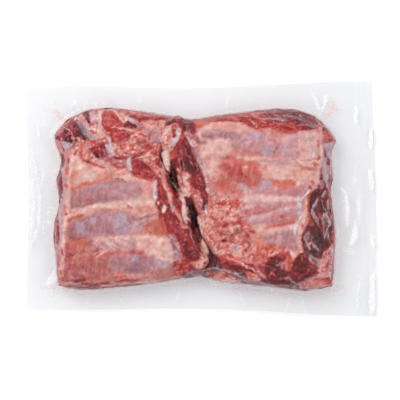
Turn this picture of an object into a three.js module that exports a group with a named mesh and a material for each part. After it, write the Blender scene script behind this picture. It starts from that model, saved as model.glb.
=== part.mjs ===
// Two raw pork rib slabs side by side in one vacuum-sealed bag, lying flat with the bone side up.
// Millimetres. +X runs along the bag, +Y across it and +Z up from the surface that it lies on.
import * as THREE from "three";

// The bag: a flat border of film around the tight middle
const bagLength = 300;
const bagWidth = 200.8;
const borderThickness = 1;
const seamHeight = 7.5;
const borderEdgeHeight = 3.6;
const borderWaveHeight = 0.8;
const borderWaveLength = 95;

// How far the bag's corners stand in from its full length and width, and how far each edge bows in
const leftCornersIn = { top: 0, bottom: 1.8 };
const rightCornersIn = { top: 3.8, bottom: 0 };
const topCornersIn = { left: 3.8, right: 0 };
const bottomCornersIn = { left: 6.1, right: 0 };
const edgeBow = { left: 3.2, right: -1.4, top: 4.3, bottom: 3.9 };

// The slabs: their height, and how far in from each side the film is still rounding over
const leftSlabHeight = 25;
const rightSlabHeight = 26.5;
const shoulder = { left: 10, right: 20, top: 12, bottom: 8 };
const undersideShoulder = 8;

// The outline of both slabs seen from above, one side at a time
const topLeft = [-115, 67];
const topRight = [104, 66];
const bottomRight = [112.5, -74.5];
const bottomLeft = [-121.5, -74.5];
const cleftTop = [-17, 70];
const cleftBottom = [4.5, -67.2];
const outerLeft = [
  bottomLeft, [-124, -50], [-125, -24], [-120.5, -2], [-123, 14], [-119.5, 33], [-124.5, 53], topLeft,
];
const outerRight = [
  bottomRight, [114.5, -48], [115, -27], [111, 7], [112.5, 18], [112, 40], [115, 50], topRight,
];
const topOfLeftSlab = [topLeft, [-97, 75.5], [-78, 77.4], [-58, 76], [-36, 72.8], cleftTop];
const topOfRightSlab = [cleftTop, [-7, 68], [14, 71.5], [41, 74.7], [67, 77], [88, 74.5], topRight];
const bottomOfLeftSlab = [bottomLeft, [-103, -78], [-73, -76], [-35, -71.5], [-5, -66.5], cleftBottom];
const bottomOfRightSlab = [cleftBottom, [17, -70.7], [42, -73.5], [67, -76.2], [92, -78.2], bottomRight];

// The cleft between the slabs. The third number is how deep the film dips into it.
const cleft = [
  [...cleftBottom, 6], [9, -60, 6], [10.5, -53, 8], [5, -42, 7], [-2, -28, 9], [-7, -14, 8],
  [-14, 0, 8], [-22, 14, 9], [-30, 31, 6], [-33, 46, 4], [-28, 60, 4], [...cleftTop, 6],
];
const cleftHalfWidth = 5;
const undersideCleftDip = 3;
const undersideCleftHalfWidth = 9;

// The rib bones under the surface of each slab, from end to end
const ribs = [
  [[-109, 23], [-85, 26], [-62, 25]],
  [[-109, 4], [-75, 7], [-43, 8]],
  [[-111, -24], [-70, -20], [-35, -20]],
  [[-113, -54], [-70, -53], [-31, -56]],
  [[29, 45], [65, 47], [100, 45]],
  [[12, 11], [55, 15], [95, 16]],
  [[23, -12], [55, -7], [85, -4]],
  [[46, -37], [65, -34], [83, -33]],
];
const ribHalfWidth = 8.5;
const ribRise = 1.8;

// Strips of muscle that lie along the cleft
const muscleStrips = [
  { line: [[-57, 29], [-45, 24], [-36, 14], [-31, -5], [-21, -25], [-8, -47]], halfWidth: 7, rise: 3.2 },
  { line: [[-14, 56], [-11, 40], [-6, 22], [1, 4], [4, -8]], halfWidth: 6, rise: 2.4 },
  { line: [[-9, -20], [-4, -33], [0, -43]], halfWidth: 4, rise: 2 },
];

// The flap of fat and lean folded over the top of the left slab
const flap = [
  [-114, 65], [-99, 72], [-78, 74], [-57, 68], [-43, 57], [-34, 45],
  [-37, 36], [-52, 33], [-73, 35], [-88, 36], [-97, 43], [-106, 51],
];
const flapRise = 3;
const flapSoftEdge = 7;

// The side muscles that slope away from the raised rib side of the right slab
const sideMuscles = [
  { line: [[108, 30], [101, 8], [99, -20], [102, -60]], halfWidth: 9, rise: -4 },
  { line: [[2, 70], [42, 69], [75, 68], [98, 64]], halfWidth: 7, rise: -2.5 },
];

// The grid of the upper side: its cells across each stretch, and its first lines in from each slab's edges.
// The underside has every second line.
const borderCells = { left: 4, right: 6, bottom: 4, top: 4 };
const shoulderSteps = [1.3, 3.2, 6, 9.8];
const cleftSteps = [2, 4.5, 8];
const middleCells = { leftSlab: 27, rightSlab: 31, across: 32 };
const slabWidth = { left: 110, right: 124 };
const slabLength = 145;
const searchSamples = 96;
const patchSamples = 400;

const fatPink = 0xd9a49b;

const lerp = (a, b, t) => a + (b - a) * t;
const clamp01 = (t) => Math.min(1, Math.max(0, t));
const smooth = (t) => clamp01(t) ** 2 * (3 - 2 * clamp01(t));

// A smooth curve through hand-picked points, with a depth or 0 as its third coordinate
function curveThrough(points) {
  const vectors = points.map(([x, y, z = 0]) => new THREE.Vector3(x, y, z));
  return new THREE.CatmullRomCurve3(vectors, false, "centripetal");
}

// A lookup from a fraction of a curve's length to the point there
function pointsAlong(curve) {
  const points = curve.getSpacedPoints(patchSamples);
  return (fraction) => {
    const place = clamp01(fraction) * patchSamples;
    const first = Math.min(Math.floor(place), patchSamples - 1);
    return points[first].clone().lerp(points[first + 1], place - first);
  };
}

// One edge of the bag, from corner to corner, bowed by the given amounts at its middle
function bagEdge(from, to, bowX, bowY) {
  return (fraction) => {
    const bow = Math.sin(Math.PI * fraction) ** 2;
    const x = lerp(from[0], to[0], fraction) + bowX * bow;
    const y = lerp(from[1], to[1], fraction) + bowY * bow;
    return new THREE.Vector3(x, y, 0);
  };
}

// A patch that fills the four sides: each side's shape fades out towards the side across from it
function patchBetween(left, right, bottom, top) {
  const corner = (side, fraction, weight) => side(fraction).multiplyScalar(weight);
  return (s, t) => left(t).multiplyScalar(1 - s)
    .add(right(t).multiplyScalar(s))
    .add(bottom(s).multiplyScalar(1 - t))
    .add(top(s).multiplyScalar(t))
    .sub(corner(bottom, 0, (1 - s) * (1 - t)))
    .sub(corner(bottom, 1, s * (1 - t)))
    .sub(corner(top, 0, (1 - s) * t))
    .sub(corner(top, 1, s * t));
}

function makeBagSides() {
  const halfLength = bagLength / 2;
  const halfWidth = bagWidth / 2;
  const upperLeft = [-halfLength + leftCornersIn.top, halfWidth - topCornersIn.left];
  const upperRight = [halfLength - rightCornersIn.top, halfWidth - topCornersIn.right];
  const lowerLeft = [-halfLength + leftCornersIn.bottom, -halfWidth + bottomCornersIn.left];
  const lowerRight = [halfLength - rightCornersIn.bottom, -halfWidth + bottomCornersIn.right];
  return {
    left: bagEdge(lowerLeft, upperLeft, edgeBow.left, 0),
    right: bagEdge(lowerRight, upperRight, -edgeBow.right, 0),
    bottom: bagEdge(lowerLeft, lowerRight, 0, edgeBow.bottom),
    top: bagEdge(upperLeft, upperRight, 0, -edgeBow.top),
  };
}

// One slab seen from above
function makeSlab(left, right, bottom, top) {
  const sides = {
    left: pointsAlong(curveThrough(left)),
    right: pointsAlong(curveThrough(right)),
    bottom: pointsAlong(curveThrough(bottom)),
    top: pointsAlong(curveThrough(top)),
  };
  return { sides, patch: patchBetween(sides.left, sides.right, sides.bottom, sides.top) };
}

const bagSides = makeBagSides();
const bagPatch = patchBetween(bagSides.left, bagSides.right, bagSides.bottom, bagSides.top);
const leftSlab = makeSlab(outerLeft, cleft, bottomOfLeftSlab, topOfLeftSlab);
const rightSlab = makeSlab(cleft, outerRight, bottomOfRightSlab, topOfRightSlab);

// The fractions of the bag where the slabs and the cleft begin and end
const alongBag = ([x]) => (x + bagLength / 2) / bagLength;
const acrossBag = ([, y]) => (y + bagWidth / 2) / bagWidth;
const meatAlong = { start: alongBag(bottomLeft), cleft: alongBag(cleftBottom), end: alongBag(bottomRight) };
const meatAcross = { start: acrossBag(bottomLeft), end: acrossBag(topLeft) };

// Lines across a slab, from its first edge to its last, closer together near both.
// inside is the fraction across the slab.
function linesAcross(firstSteps, cells, lastSteps, span) {
  const first = [0, ...firstSteps.map((step) => step / span)];
  const last = [...lastSteps.map((step) => 1 - step / span).reverse(), 1];
  const middle = Array.from({ length: cells - 1 }, (_, i) => lerp(first.at(-1), last[0], (i + 1) / cells));
  return [...first, ...middle, ...last].map((inside) => ({ border: 1, inside }));
}

// Adds the border's lines. border is 1 over the meat and falls to 0 at the bag's edge.
// bag is the fraction of the whole bag, and foot is that fraction at the nearest meat.
function withBorder(lines, cellsBefore, cellsAfter) {
  const first = lines[0];
  const last = lines.at(-1);
  const before = Array.from({ length: cellsBefore }, (_, i) => {
    const border = i / cellsBefore;
    return { ...first, border, bag: first.bag * border };
  });
  const after = Array.from({ length: cellsAfter }, (_, i) => {
    const border = 1 - (i + 1) / cellsAfter;
    return { ...last, border, bag: lerp(1, last.bag, border) };
  });
  return [...before, ...lines, ...after];
}

const onBag = (lines, start, end) => lines.map((line) => {
  const bag = lerp(start, end, line.inside);
  return { ...line, bag, foot: bag };
});

function makeColumns() {
  const overLeft = linesAcross(shoulderSteps, middleCells.leftSlab, cleftSteps, slabWidth.left);
  const overRight = linesAcross(cleftSteps, middleCells.rightSlab, shoulderSteps, slabWidth.right);
  const left = onBag(overLeft, meatAlong.start, meatAlong.cleft);
  const right = onBag(overRight, meatAlong.cleft, meatAlong.end).slice(1);
  const lines = [
    ...left.map((line) => ({ ...line, slab: leftSlab })),
    ...right.map((line) => ({ ...line, slab: rightSlab })),
  ];
  return withBorder(lines, borderCells.left, borderCells.right);
}

function makeRows() {
  const lines = linesAcross(shoulderSteps, middleCells.across, shoulderSteps, slabLength);
  return withBorder(onBag(lines, meatAcross.start, meatAcross.end), borderCells.bottom, borderCells.top);
}

// The place of a grid crossing seen from above: over the meat it follows the slab's outline,
// and that outline's pull fades out across the border
function crossing(column, row) {
  const pull = column.slab.patch(column.inside, row.inside).sub(bagPatch(column.foot, row.foot));
  return bagPatch(column.bag, row.bag).add(pull.multiplyScalar(column.border * row.border));
}

// Samples of a line with their nearest-point search
function nearestOn(points) {
  const samples = curveThrough(points).getPoints(searchSamples);
  return (x, y) => {
    let best = { distance: Infinity, depth: 0 };
    for (const sample of samples) {
      const distance = Math.hypot(sample.x - x, sample.y - y);
      if (distance < best.distance) best = { distance, depth: sample.z };
    }
    return best;
  };
}

const bell = (distance, halfWidth) => Math.exp(-((distance / halfWidth) ** 2));

function ridge({ line, halfWidth, rise }) {
  const nearest = nearestOn(line);
  return (x, y) => rise * bell(nearest(x, y).distance, halfWidth);
}

// A raised area with a soft edge
function raisedArea(outline, rise, softEdge) {
  const edge = nearestOn([...outline, outline[0]]);
  const isInside = (x, y) => outline.reduce((odd, [x1, y1], i) => {
    const [x2, y2] = outline[(i + 1) % outline.length];
    const crosses = y1 > y !== y2 > y && x < lerp(x1, x2, (y - y1) / (y2 - y1));
    return crosses ? !odd : odd;
  }, false);
  return (x, y) => (isInside(x, y) ? rise * smooth(edge(x, y).distance / softEdge) : 0);
}

const reliefs = [
  ...ribs.map((line) => ridge({ line, halfWidth: ribHalfWidth, rise: ribRise })),
  ...muscleStrips.map(ridge),
  ...sideMuscles.map(ridge),
  raisedArea(flap, flapRise, flapSoftEdge),
];
const nearestCleft = nearestOn(cleft);

// A quarter circle that starts steep at 0 and is level from 1 on
const quarterRound = (t) => Math.sqrt(1 - (1 - clamp01(t)) ** 2);

// How far the film has rounded over from the seam, 0 at the meat's outline and 1 inside the shoulders
function roundedOver(place, column, row, runs) {
  const { sides } = column.slab;
  const feet = [
    [leftSlab.sides.left(row.inside), runs.left],
    [rightSlab.sides.right(row.inside), runs.right],
    [sides.bottom(column.inside), runs.bottom],
    [sides.top(column.inside), runs.top],
  ];
  const part = ([foot, run]) => quarterRound(Math.hypot(place.x - foot.x, place.y - foot.y) / run);
  return feet.reduce((product, foot) => product * part(foot), 1);
}

function borderHeight(place, outward) {
  const wave = Math.sin((2 * Math.PI * (place.x + 0.7 * place.y)) / borderWaveLength);
  return lerp(seamHeight, borderEdgeHeight, smooth(outward)) + borderWaveHeight * outward * wave;
}

function slabHeight(place) {
  const nearRight = smooth((place.x + 20) / 40);
  const relief = reliefs.reduce((sum, height) => sum + height(place.x, place.y), 0);
  const { distance, depth } = nearestCleft(place.x, place.y);
  return lerp(leftSlabHeight, rightSlabHeight, nearRight) + relief - depth * bell(distance, cleftHalfWidth);
}

function upperHeight(place, column, row) {
  const outward = 1 - column.border * row.border;
  if (outward > 0) return borderHeight(place, outward);
  const over = roundedOver(place, column, row, shoulder);
  return lerp(seamHeight, slabHeight(place), over);
}

const undersideRuns = {
  left: undersideShoulder, right: undersideShoulder, bottom: undersideShoulder, top: undersideShoulder,
};

function lowerHeight(place, column, row) {
  const outward = 1 - column.border * row.border;
  if (outward > 0) return borderHeight(place, outward) - borderThickness;
  const over = roundedOver(place, column, row, undersideRuns);
  const fromCleft = nearestCleft(place.x, place.y).distance;
  const dip = undersideCleftDip * (1 - smooth(fromCleft / undersideCleftHalfWidth));
  return lerp(seamHeight - borderThickness, dip, over);
}

// One side of the bag as a grid of points, with its faces turned up or down
class Sheet {
  constructor(columns, rows, heightAt, firstIndex, facesUp) {
    Object.assign(this, { columns, rows, firstIndex, facesUp });
    this.points = rows.flatMap((row) => columns.map((column) => {
      const place = crossing(column, row);
      return [place.x, place.y, heightAt(place, column, row)];
    }));
  }

  index(i, j) {
    return this.firstIndex + j * this.columns.length + i;
  }

  triangles() {
    const faces = [];
    for (let j = 0; j + 1 < this.rows.length; j += 1) {
      for (let i = 0; i + 1 < this.columns.length; i += 1) {
        const [a, b] = [this.index(i, j), this.index(i + 1, j)];
        const [d, c] = [this.index(i, j + 1), this.index(i + 1, j + 1)];
        faces.push(...(this.facesUp ? [[a, b, c], [a, c, d]] : [[a, c, b], [a, d, c]]));
      }
    }
    return faces;
  }

  // The indices around the edge, counter-clockwise seen from above
  edge() {
    const lastI = this.columns.length - 1;
    const lastJ = this.rows.length - 1;
    const loop = [];
    for (let i = 0; i < lastI; i += 1) loop.push(this.index(i, 0));
    for (let j = 0; j < lastJ; j += 1) loop.push(this.index(lastI, j));
    for (let i = lastI; i > 0; i -= 1) loop.push(this.index(i, lastJ));
    for (let j = lastJ; j > 0; j -= 1) loop.push(this.index(0, j));
    return loop;
  }
}

// The cut edge of the border: two upper cells meet each lower one
function rimTriangles(upper, lower) {
  const faces = [];
  const above = upper.edge();
  const below = lower.edge();
  for (let k = 0; k < below.length; k += 1) {
    const [a0, a1, a2] = [above[2 * k], above[2 * k + 1], above[(2 * k + 2) % above.length]];
    const [b0, b1] = [below[k], below[(k + 1) % below.length]];
    faces.push([b0, a1, a0], [b0, b1, a1], [b1, a2, a1]);
  }
  return faces;
}

function makeSealedBag() {
  const everySecond = (lines) => lines.filter((line, i) => i % 2 === 0);
  const columns = makeColumns();
  const rows = makeRows();
  const upper = new Sheet(columns, rows, upperHeight, 0, true);
  const lower = new Sheet(everySecond(columns), everySecond(rows), lowerHeight, upper.points.length, false);
  const faces = [...upper.triangles(), ...lower.triangles(), ...rimTriangles(upper, lower)];
  const positions = [...upper.points, ...lower.points].flat();
  const geometry = new THREE.BufferGeometry();
  geometry.setAttribute("position", new THREE.Float32BufferAttribute(positions, 3));
  geometry.setIndex(faces.flat());
  geometry.computeVertexNormals();
  return geometry;
}

const pack = new THREE.Group();
const sealedBag = new THREE.Mesh(
  makeSealedBag(),
  new THREE.MeshStandardMaterial({ color: fatPink, roughness: 0.25, metalness: 0 }),
);
sealedBag.name = "sealed_bag";
pack.add(sealedBag);

export default pack;
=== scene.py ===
"""Two raw pork rib slabs sealed in a clear vacuum bag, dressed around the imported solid.

Shapes are worked out in millimetres, as in the solid, and become metres when a mesh is made.
Painted marks are placed in the photograph's pixels, which to_photo relates to the bag's plan.
"""

import logging
import math
from dataclasses import dataclass, field
from enum import Enum, IntEnum
from functools import cached_property

import bpy
import numpy as np
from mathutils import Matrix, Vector


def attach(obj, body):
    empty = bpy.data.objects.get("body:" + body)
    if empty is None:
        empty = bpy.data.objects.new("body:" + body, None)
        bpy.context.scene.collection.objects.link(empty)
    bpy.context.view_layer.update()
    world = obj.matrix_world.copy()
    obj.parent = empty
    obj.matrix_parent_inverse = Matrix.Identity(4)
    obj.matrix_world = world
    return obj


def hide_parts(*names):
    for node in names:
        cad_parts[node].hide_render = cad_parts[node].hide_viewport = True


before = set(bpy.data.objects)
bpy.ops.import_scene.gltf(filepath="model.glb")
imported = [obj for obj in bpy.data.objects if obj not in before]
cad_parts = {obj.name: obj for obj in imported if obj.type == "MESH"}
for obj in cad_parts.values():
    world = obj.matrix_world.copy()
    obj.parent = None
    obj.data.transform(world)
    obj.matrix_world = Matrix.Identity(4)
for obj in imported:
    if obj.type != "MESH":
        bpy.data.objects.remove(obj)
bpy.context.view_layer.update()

log = logging.getLogger("rib_pack")

MM = 0.001
PIXEL_MM = 0.85
PHOTO_ORIGIN = (200.6, 198.8)
PHOTO_SIZE = 400
NODE = "sealed_bag"
MIDDLE_TONE = (0.5, 0.21, 0.195)
DEEPENING = (1.12, 1.28, 1.28)
FILM_TINT = (0.97, 0.88, 0.89)
FILM_GLOW = 0.008
BLOOD_STAIN = (0.86, 0.6, 0.62)
EDGE_WANDER = ((7.0, 1.0), (2.5, 0.8), (1.3, 0.6))


class Tone(Enum):
    """The colours of the pack, as sRGB values from 0 to 255."""

    PALE = (228, 187, 178)
    CREAM = (224, 178, 166)
    IVORY = (230, 200, 184)
    PEACH = (216, 151, 141)
    PINK = (208, 146, 140)
    ROSE = (198, 120, 116)
    LILAC = (198, 154, 158)
    MAUVE = (178, 132, 136)
    PURPLE = (155, 108, 120)
    SLATE = (112, 72, 86)
    LAVENDER = (184, 164, 178)
    ORANGE = (212, 124, 104)
    RUST = (198, 92, 72)
    SCARLET = (198, 84, 77)
    RED = (170, 64, 64)
    CRIMSON = (146, 50, 55)
    MAROON = (120, 36, 46)
    WINE = (82, 18, 29)
    BLACK = (54, 20, 24)
    BROWN = (168, 105, 95)
    GREY = (150, 126, 126)
    MAGENTA = (168, 72, 86)
    # The film's milky veil, also used for painted glare and highlights.
    VEIL_AND_GLARE = (224, 210, 218)
    GLINT = (246, 236, 238)
    WHITE = (252, 252, 253)
    JUICE = (236, 190, 168)


def lerp(a: np.ndarray | float, b: np.ndarray | float, t: np.ndarray | float) -> np.ndarray | float:
    """Goes from a to b as t goes from 0 to 1."""
    return a + (b - a) * t


def smooth(t: np.ndarray) -> np.ndarray:
    """An S-curve from 0 to 1: three t squared less two t cubed, with t held in 0 to 1."""
    t = np.clip(t, 0.0, 1.0)
    return t * t * (3.0 - 2.0 * t)


def quarter_round(t: np.ndarray) -> np.ndarray:
    """A quarter circle, steep at 0 and level from 1 on."""
    return np.sqrt(1.0 - (1.0 - np.clip(t, 0.0, 1.0)) ** 2)


def linear(colour: np.ndarray) -> np.ndarray:
    """Turns sRGB values from 0 to 255 into linear light from 0 to 1."""
    c = np.clip(np.asarray(colour, dtype=float) / 255.0, 0.0, 1.0)
    return np.where(c <= 0.04045, c / 12.92, ((c + 0.055) / 1.055) ** 2.4)


def under_film(colour: np.ndarray) -> np.ndarray:
    """Turns a colour as seen through the film into the tissue's own linear colour.

    The film flattens what lies under it. So each part of the colour is raised to a power around the
    middle tone and tinted, and the light that the film itself gives off is taken away.
    """
    middle, power = np.array(MIDDLE_TONE), np.array(DEEPENING)
    deeper = middle * (linear(colour) / middle) ** power
    return np.maximum(deeper * np.array(FILM_TINT) - FILM_GLOW, 0.002)


def to_photo(x: np.ndarray, y: np.ndarray) -> tuple[np.ndarray, np.ndarray]:
    """Takes a place in the bag's plan, in millimetres, to the photograph's pixels."""
    return x / PIXEL_MM + PHOTO_ORIGIN[0], PHOTO_ORIGIN[1] - y / PIXEL_MM


def noise(x: np.ndarray, y: np.ndarray, cell: float, seed: int) -> np.ndarray:
    """Smooth noise from -1 to 1.

    Each crossing of a square lattice has a value hashed from its place and the seed, and the four
    around a point are blended with a quintic ease.

    Args:
        x: First coordinates.
        y: Second coordinates.
        cell: The lattice's spacing, in the coordinates' unit.
        seed: Which noise of many.

    Returns:
        One value for each point.
    """
    gx, gy = x / cell, y / cell
    ix, iy = np.floor(gx).astype(np.int64), np.floor(gy).astype(np.int64)
    fx, fy = gx - ix, gy - iy

    def value(i: np.ndarray, j: np.ndarray) -> np.ndarray:
        """The hashed value at a crossing."""
        h = (i * 374761393 + j * 668265263 + seed * 144269504) & 0xFFFFFFFF
        h = ((h ^ (h >> 13)) * 1274126177) & 0xFFFFFFFF
        return ((h ^ (h >> 16)) & 0xFFFF) / 32767.5 - 1.0

    ux, uy = (f * f * f * (f * (f * 6.0 - 15.0) + 10.0) for f in (fx, fy))
    low = lerp(value(ix, iy), value(ix + 1, iy), ux)
    high = lerp(value(ix, iy + 1), value(ix + 1, iy + 1), ux)
    return lerp(low, high, uy)


def layered_noise(x: np.ndarray, y: np.ndarray, cell: float, seed: int, layers: int = 3) -> np.ndarray:
    """Sums layers of noise, each with half the spacing and half the strength of the one before."""
    total = np.zeros_like(x, dtype=float)
    for layer in range(layers):
        total += noise(x, y, cell / 2**layer, seed + layer) / 2**layer
    return total / (2.0 - 2.0 ** (1 - layers))


def line_distance(line: np.ndarray, x: np.ndarray, y: np.ndarray) -> tuple[np.ndarray, np.ndarray]:
    """Finds the nearest place on a polyline for each point.

    Args:
        line: The polyline's points, one row each.
        x: First coordinates.
        y: Second coordinates.

    Returns:
        The distance, and how far along the polyline that place is, counted in its points.
    """
    flat_x, flat_y = np.ravel(x), np.ravel(y)
    best = np.full(flat_x.shape, np.inf)
    where = np.zeros(flat_x.shape)
    for k in range(len(line) - 1):
        (ax, ay), (bx, by) = line[k, :2], line[k + 1, :2]
        dx, dy = bx - ax, by - ay
        t = np.clip(((flat_x - ax) * dx + (flat_y - ay) * dy) / max(dx * dx + dy * dy, 1e-12), 0.0, 1.0)
        d = np.hypot(flat_x - ax - t * dx, flat_y - ay - t * dy)
        nearer = d < best
        best[nearer] = d[nearer]
        where[nearer] = k + t[nearer]
    return best.reshape(np.shape(x)), where.reshape(np.shape(x))


def inside_outline(outline: np.ndarray, x: np.ndarray, y: np.ndarray) -> np.ndarray:
    """Tells which points lie in a closed outline, by counting the edges to one side of each."""
    odd = np.zeros(np.shape(x), dtype=bool)
    for (x1, y1), (x2, y2) in zip(outline, np.roll(outline, -1, axis=0)):
        if y1 != y2:
            odd ^= ((y1 > y) != (y2 > y)) & (x < x1 + (x2 - x1) * (y - y1) / (y2 - y1))
    return odd


@dataclass(frozen=True)
class Curve:
    """A smooth curve through given points.

    Each stretch is a Catmull-Rom cubic whose parameter steps by the square root of the distance
    between its points. The coordinates stand in rows of two, or of three where a value goes along.
    """

    points: tuple[tuple[float, ...], ...]
    steps: int = 12

    @cached_property
    def line(self) -> np.ndarray:
        """The curve as a polyline."""
        p = np.array(self.points, dtype=float)
        p = np.vstack([2 * p[0] - p[1], p, 2 * p[-1] - p[-2]])
        gap = np.maximum(np.sqrt(np.linalg.norm(np.diff(p[:, :2], axis=0), axis=1)), 1e-4)[:, None]
        t = np.linspace(0.0, 1.0, self.steps, endpoint=False)[:, None]
        parts = []
        for k in range(1, len(p) - 2):
            d0, d1, d2 = gap[k - 1], gap[k], gap[k + 1]
            m1 = ((p[k] - p[k - 1]) / d0 - (p[k + 1] - p[k - 1]) / (d0 + d1)) * d1 + (p[k + 1] - p[k])
            m2 = ((p[k + 2] - p[k + 1]) / d2 - (p[k + 2] - p[k]) / (d1 + d2)) * d1 + (p[k + 1] - p[k])
            start, end = p[k], p[k + 1]
            parts.append(
                start + m1 * t + (3 * (end - start) - 2 * m1 - m2) * t**2
                + (2 * (start - end) + m1 + m2) * t**3
            )
        return np.vstack([*parts, p[-2:-1]])

    def at(self, fractions: np.ndarray) -> np.ndarray:
        """The points at these fractions of the curve's length, one row each."""
        line = self.line
        length = np.concatenate([[0.0], np.cumsum(np.linalg.norm(np.diff(line[:, :2], axis=0), axis=1))])
        place = np.asarray(fractions) * length[-1]
        return np.stack([np.interp(place, length, line[:, k]) for k in range(line.shape[1])], axis=-1)

    def distance(self, x: np.ndarray, y: np.ndarray) -> np.ndarray:
        """The distance from each point to the curve."""
        return line_distance(self.line, x, y)[0]


@dataclass(frozen=True)
class BagEdge:
    """One edge of the bag from corner to corner, bowed at its middle by a squared sine."""

    start: tuple[float, float]
    end: tuple[float, float]
    bow: tuple[float, float]

    def at(self, fractions: np.ndarray) -> np.ndarray:
        """The points at these fractions of the edge, one row each."""
        f = np.asarray(fractions, dtype=float)[:, None]
        straight = lerp(np.array(self.start), np.array(self.end), f)
        return straight + np.array(self.bow) * np.sin(np.pi * f) ** 2


def patch(left: Curve, right: Curve, bottom: Curve, top: Curve, s: np.ndarray, t: np.ndarray) -> np.ndarray:
    """Fills four sides with a grid of points.

    The left and right sides are blended across, the bottom and top sides are blended up, the two
    are added, and the blend of the four corners is taken off once.

    Args:
        left: The side at s = 0.
        right: The side at s = 1.
        bottom: The side at t = 0.
        top: The side at t = 1.
        s: Fractions across, one for each column.
        t: Fractions up, one for each row.

    Returns:
        An array of rows, columns and the two coordinates.
    """
    across, up = s[None, :, None], t[:, None, None]
    sides = lerp(left.at(t)[:, None, :2], right.at(t)[:, None, :2], across)
    ends = lerp(bottom.at(s)[None, :, :2], top.at(s)[None, :, :2], up)
    corner = [side.at(np.array([0.0, 1.0]))[:, :2] for side in (bottom, top)]
    corners = lerp(
        lerp(corner[0][0], corner[0][1], across),
        lerp(corner[1][0], corner[1][1], across),
        up,
    )
    return sides + ends - corners


def spaced(cells: int, near_start: float, near_end: float) -> np.ndarray:
    """Fractions from 0 to 1 that stand closer together near the ends.

    Args:
        cells: How many steps.
        near_start: How much closer near 0: 0 is even, and towards 1 is closer.
        near_end: The same near 1.

    Returns:
        The fractions, with 0 and 1 among them.
    """
    t = np.linspace(0.0, 1.0, cells + 1)
    density = 1.0 + near_start * 3.0 * np.exp(-t / 0.07) + near_end * 3.0 * np.exp(-(1.0 - t) / 0.07)
    total = np.concatenate([[0.0], np.cumsum((density[1:] + density[:-1]) / 2)])
    return np.interp(np.linspace(0.0, total[-1], cells + 1), total, t)


def make_object(name: str, points: np.ndarray, faces: np.ndarray) -> bpy.types.Object:
    """Makes a smooth-shaded mesh object from points in millimetres.

    Args:
        name: The piece's name.
        points: One row for each vertex.
        faces: One row of vertex numbers for each face, of three or four corners.

    Returns:
        The new object, at the origin.
    """
    mesh = bpy.data.meshes.new(name)
    corners = faces.shape[1]
    mesh.vertices.add(len(points))
    mesh.vertices.foreach_set("co", (points * MM).astype(np.float32).ravel())
    mesh.loops.add(faces.size)
    mesh.loops.foreach_set("vertex_index", faces.astype(np.int32).ravel())
    mesh.polygons.add(len(faces))
    mesh.polygons.foreach_set("loop_start", np.arange(0, faces.size, corners, dtype=np.int32))
    mesh.polygons.foreach_set("use_smooth", np.ones(len(faces), dtype=bool))
    mesh.update(calc_edges=True)
    mesh.validate()
    piece = bpy.data.objects.new(name, mesh)
    bpy.context.scene.collection.objects.link(piece)
    return piece


def write_colour(piece: bpy.types.Object, name: str, colour: np.ndarray) -> None:
    """Writes one linear colour for each vertex as a colour attribute."""
    attribute = piece.data.color_attributes.new(name, "FLOAT_COLOR", "POINT")
    rgba = np.ones((len(colour), 4), dtype=np.float32)
    rgba[:, :3] = colour
    attribute.data.foreach_set("color", rgba.ravel())


def write_value(piece: bpy.types.Object, name: str, value: np.ndarray) -> None:
    """Writes one number for each vertex as an attribute."""
    attribute = piece.data.attributes.new(name, "FLOAT", "POINT")
    attribute.data.foreach_set("value", value.astype(np.float32))


def closed_shell(upper: np.ndarray, lower: np.ndarray) -> tuple[np.ndarray, np.ndarray]:
    """Joins an upper and a lower grid of points into one closed surface.

    Both grids have the same rows and columns. They share the upper grid's outer ring, so the edge
    is closed, and the lower grid's faces are turned down.

    Args:
        upper: Rows, columns and three coordinates.
        lower: The same for the underside.

    Returns:
        The points, and the faces as rows of four vertex numbers.
    """
    rows, columns = upper.shape[:2]
    top = np.arange(rows * columns).reshape(rows, columns)
    under = top.copy()
    inner = (rows - 2) * (columns - 2)
    under[1:-1, 1:-1] = rows * columns + np.arange(inner).reshape(rows - 2, columns - 2)
    points = np.vstack([upper.reshape(-1, 3), lower[1:-1, 1:-1].reshape(-1, 3)])

    def quads(index: np.ndarray) -> np.ndarray:
        """The grid's cells, counter-clockwise seen from above."""
        corners = [index[:-1, :-1], index[:-1, 1:], index[1:, 1:], index[1:, :-1]]
        return np.stack(corners, axis=-1).reshape(-1, 4)

    return points, np.vstack([quads(top), quads(under)[:, ::-1]])


@dataclass(frozen=True)
class Ridge:
    """A soft ridge along a line: its height falls off as a bell curve."""

    line: tuple[tuple[float, float], ...]
    half_width: float
    rise: float

    def height(self, x: np.ndarray, y: np.ndarray) -> np.ndarray:
        """How much the ridge adds at each point."""
        return self.rise * np.exp(-((Curve(self.line).distance(x, y) / self.half_width) ** 2))


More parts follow.
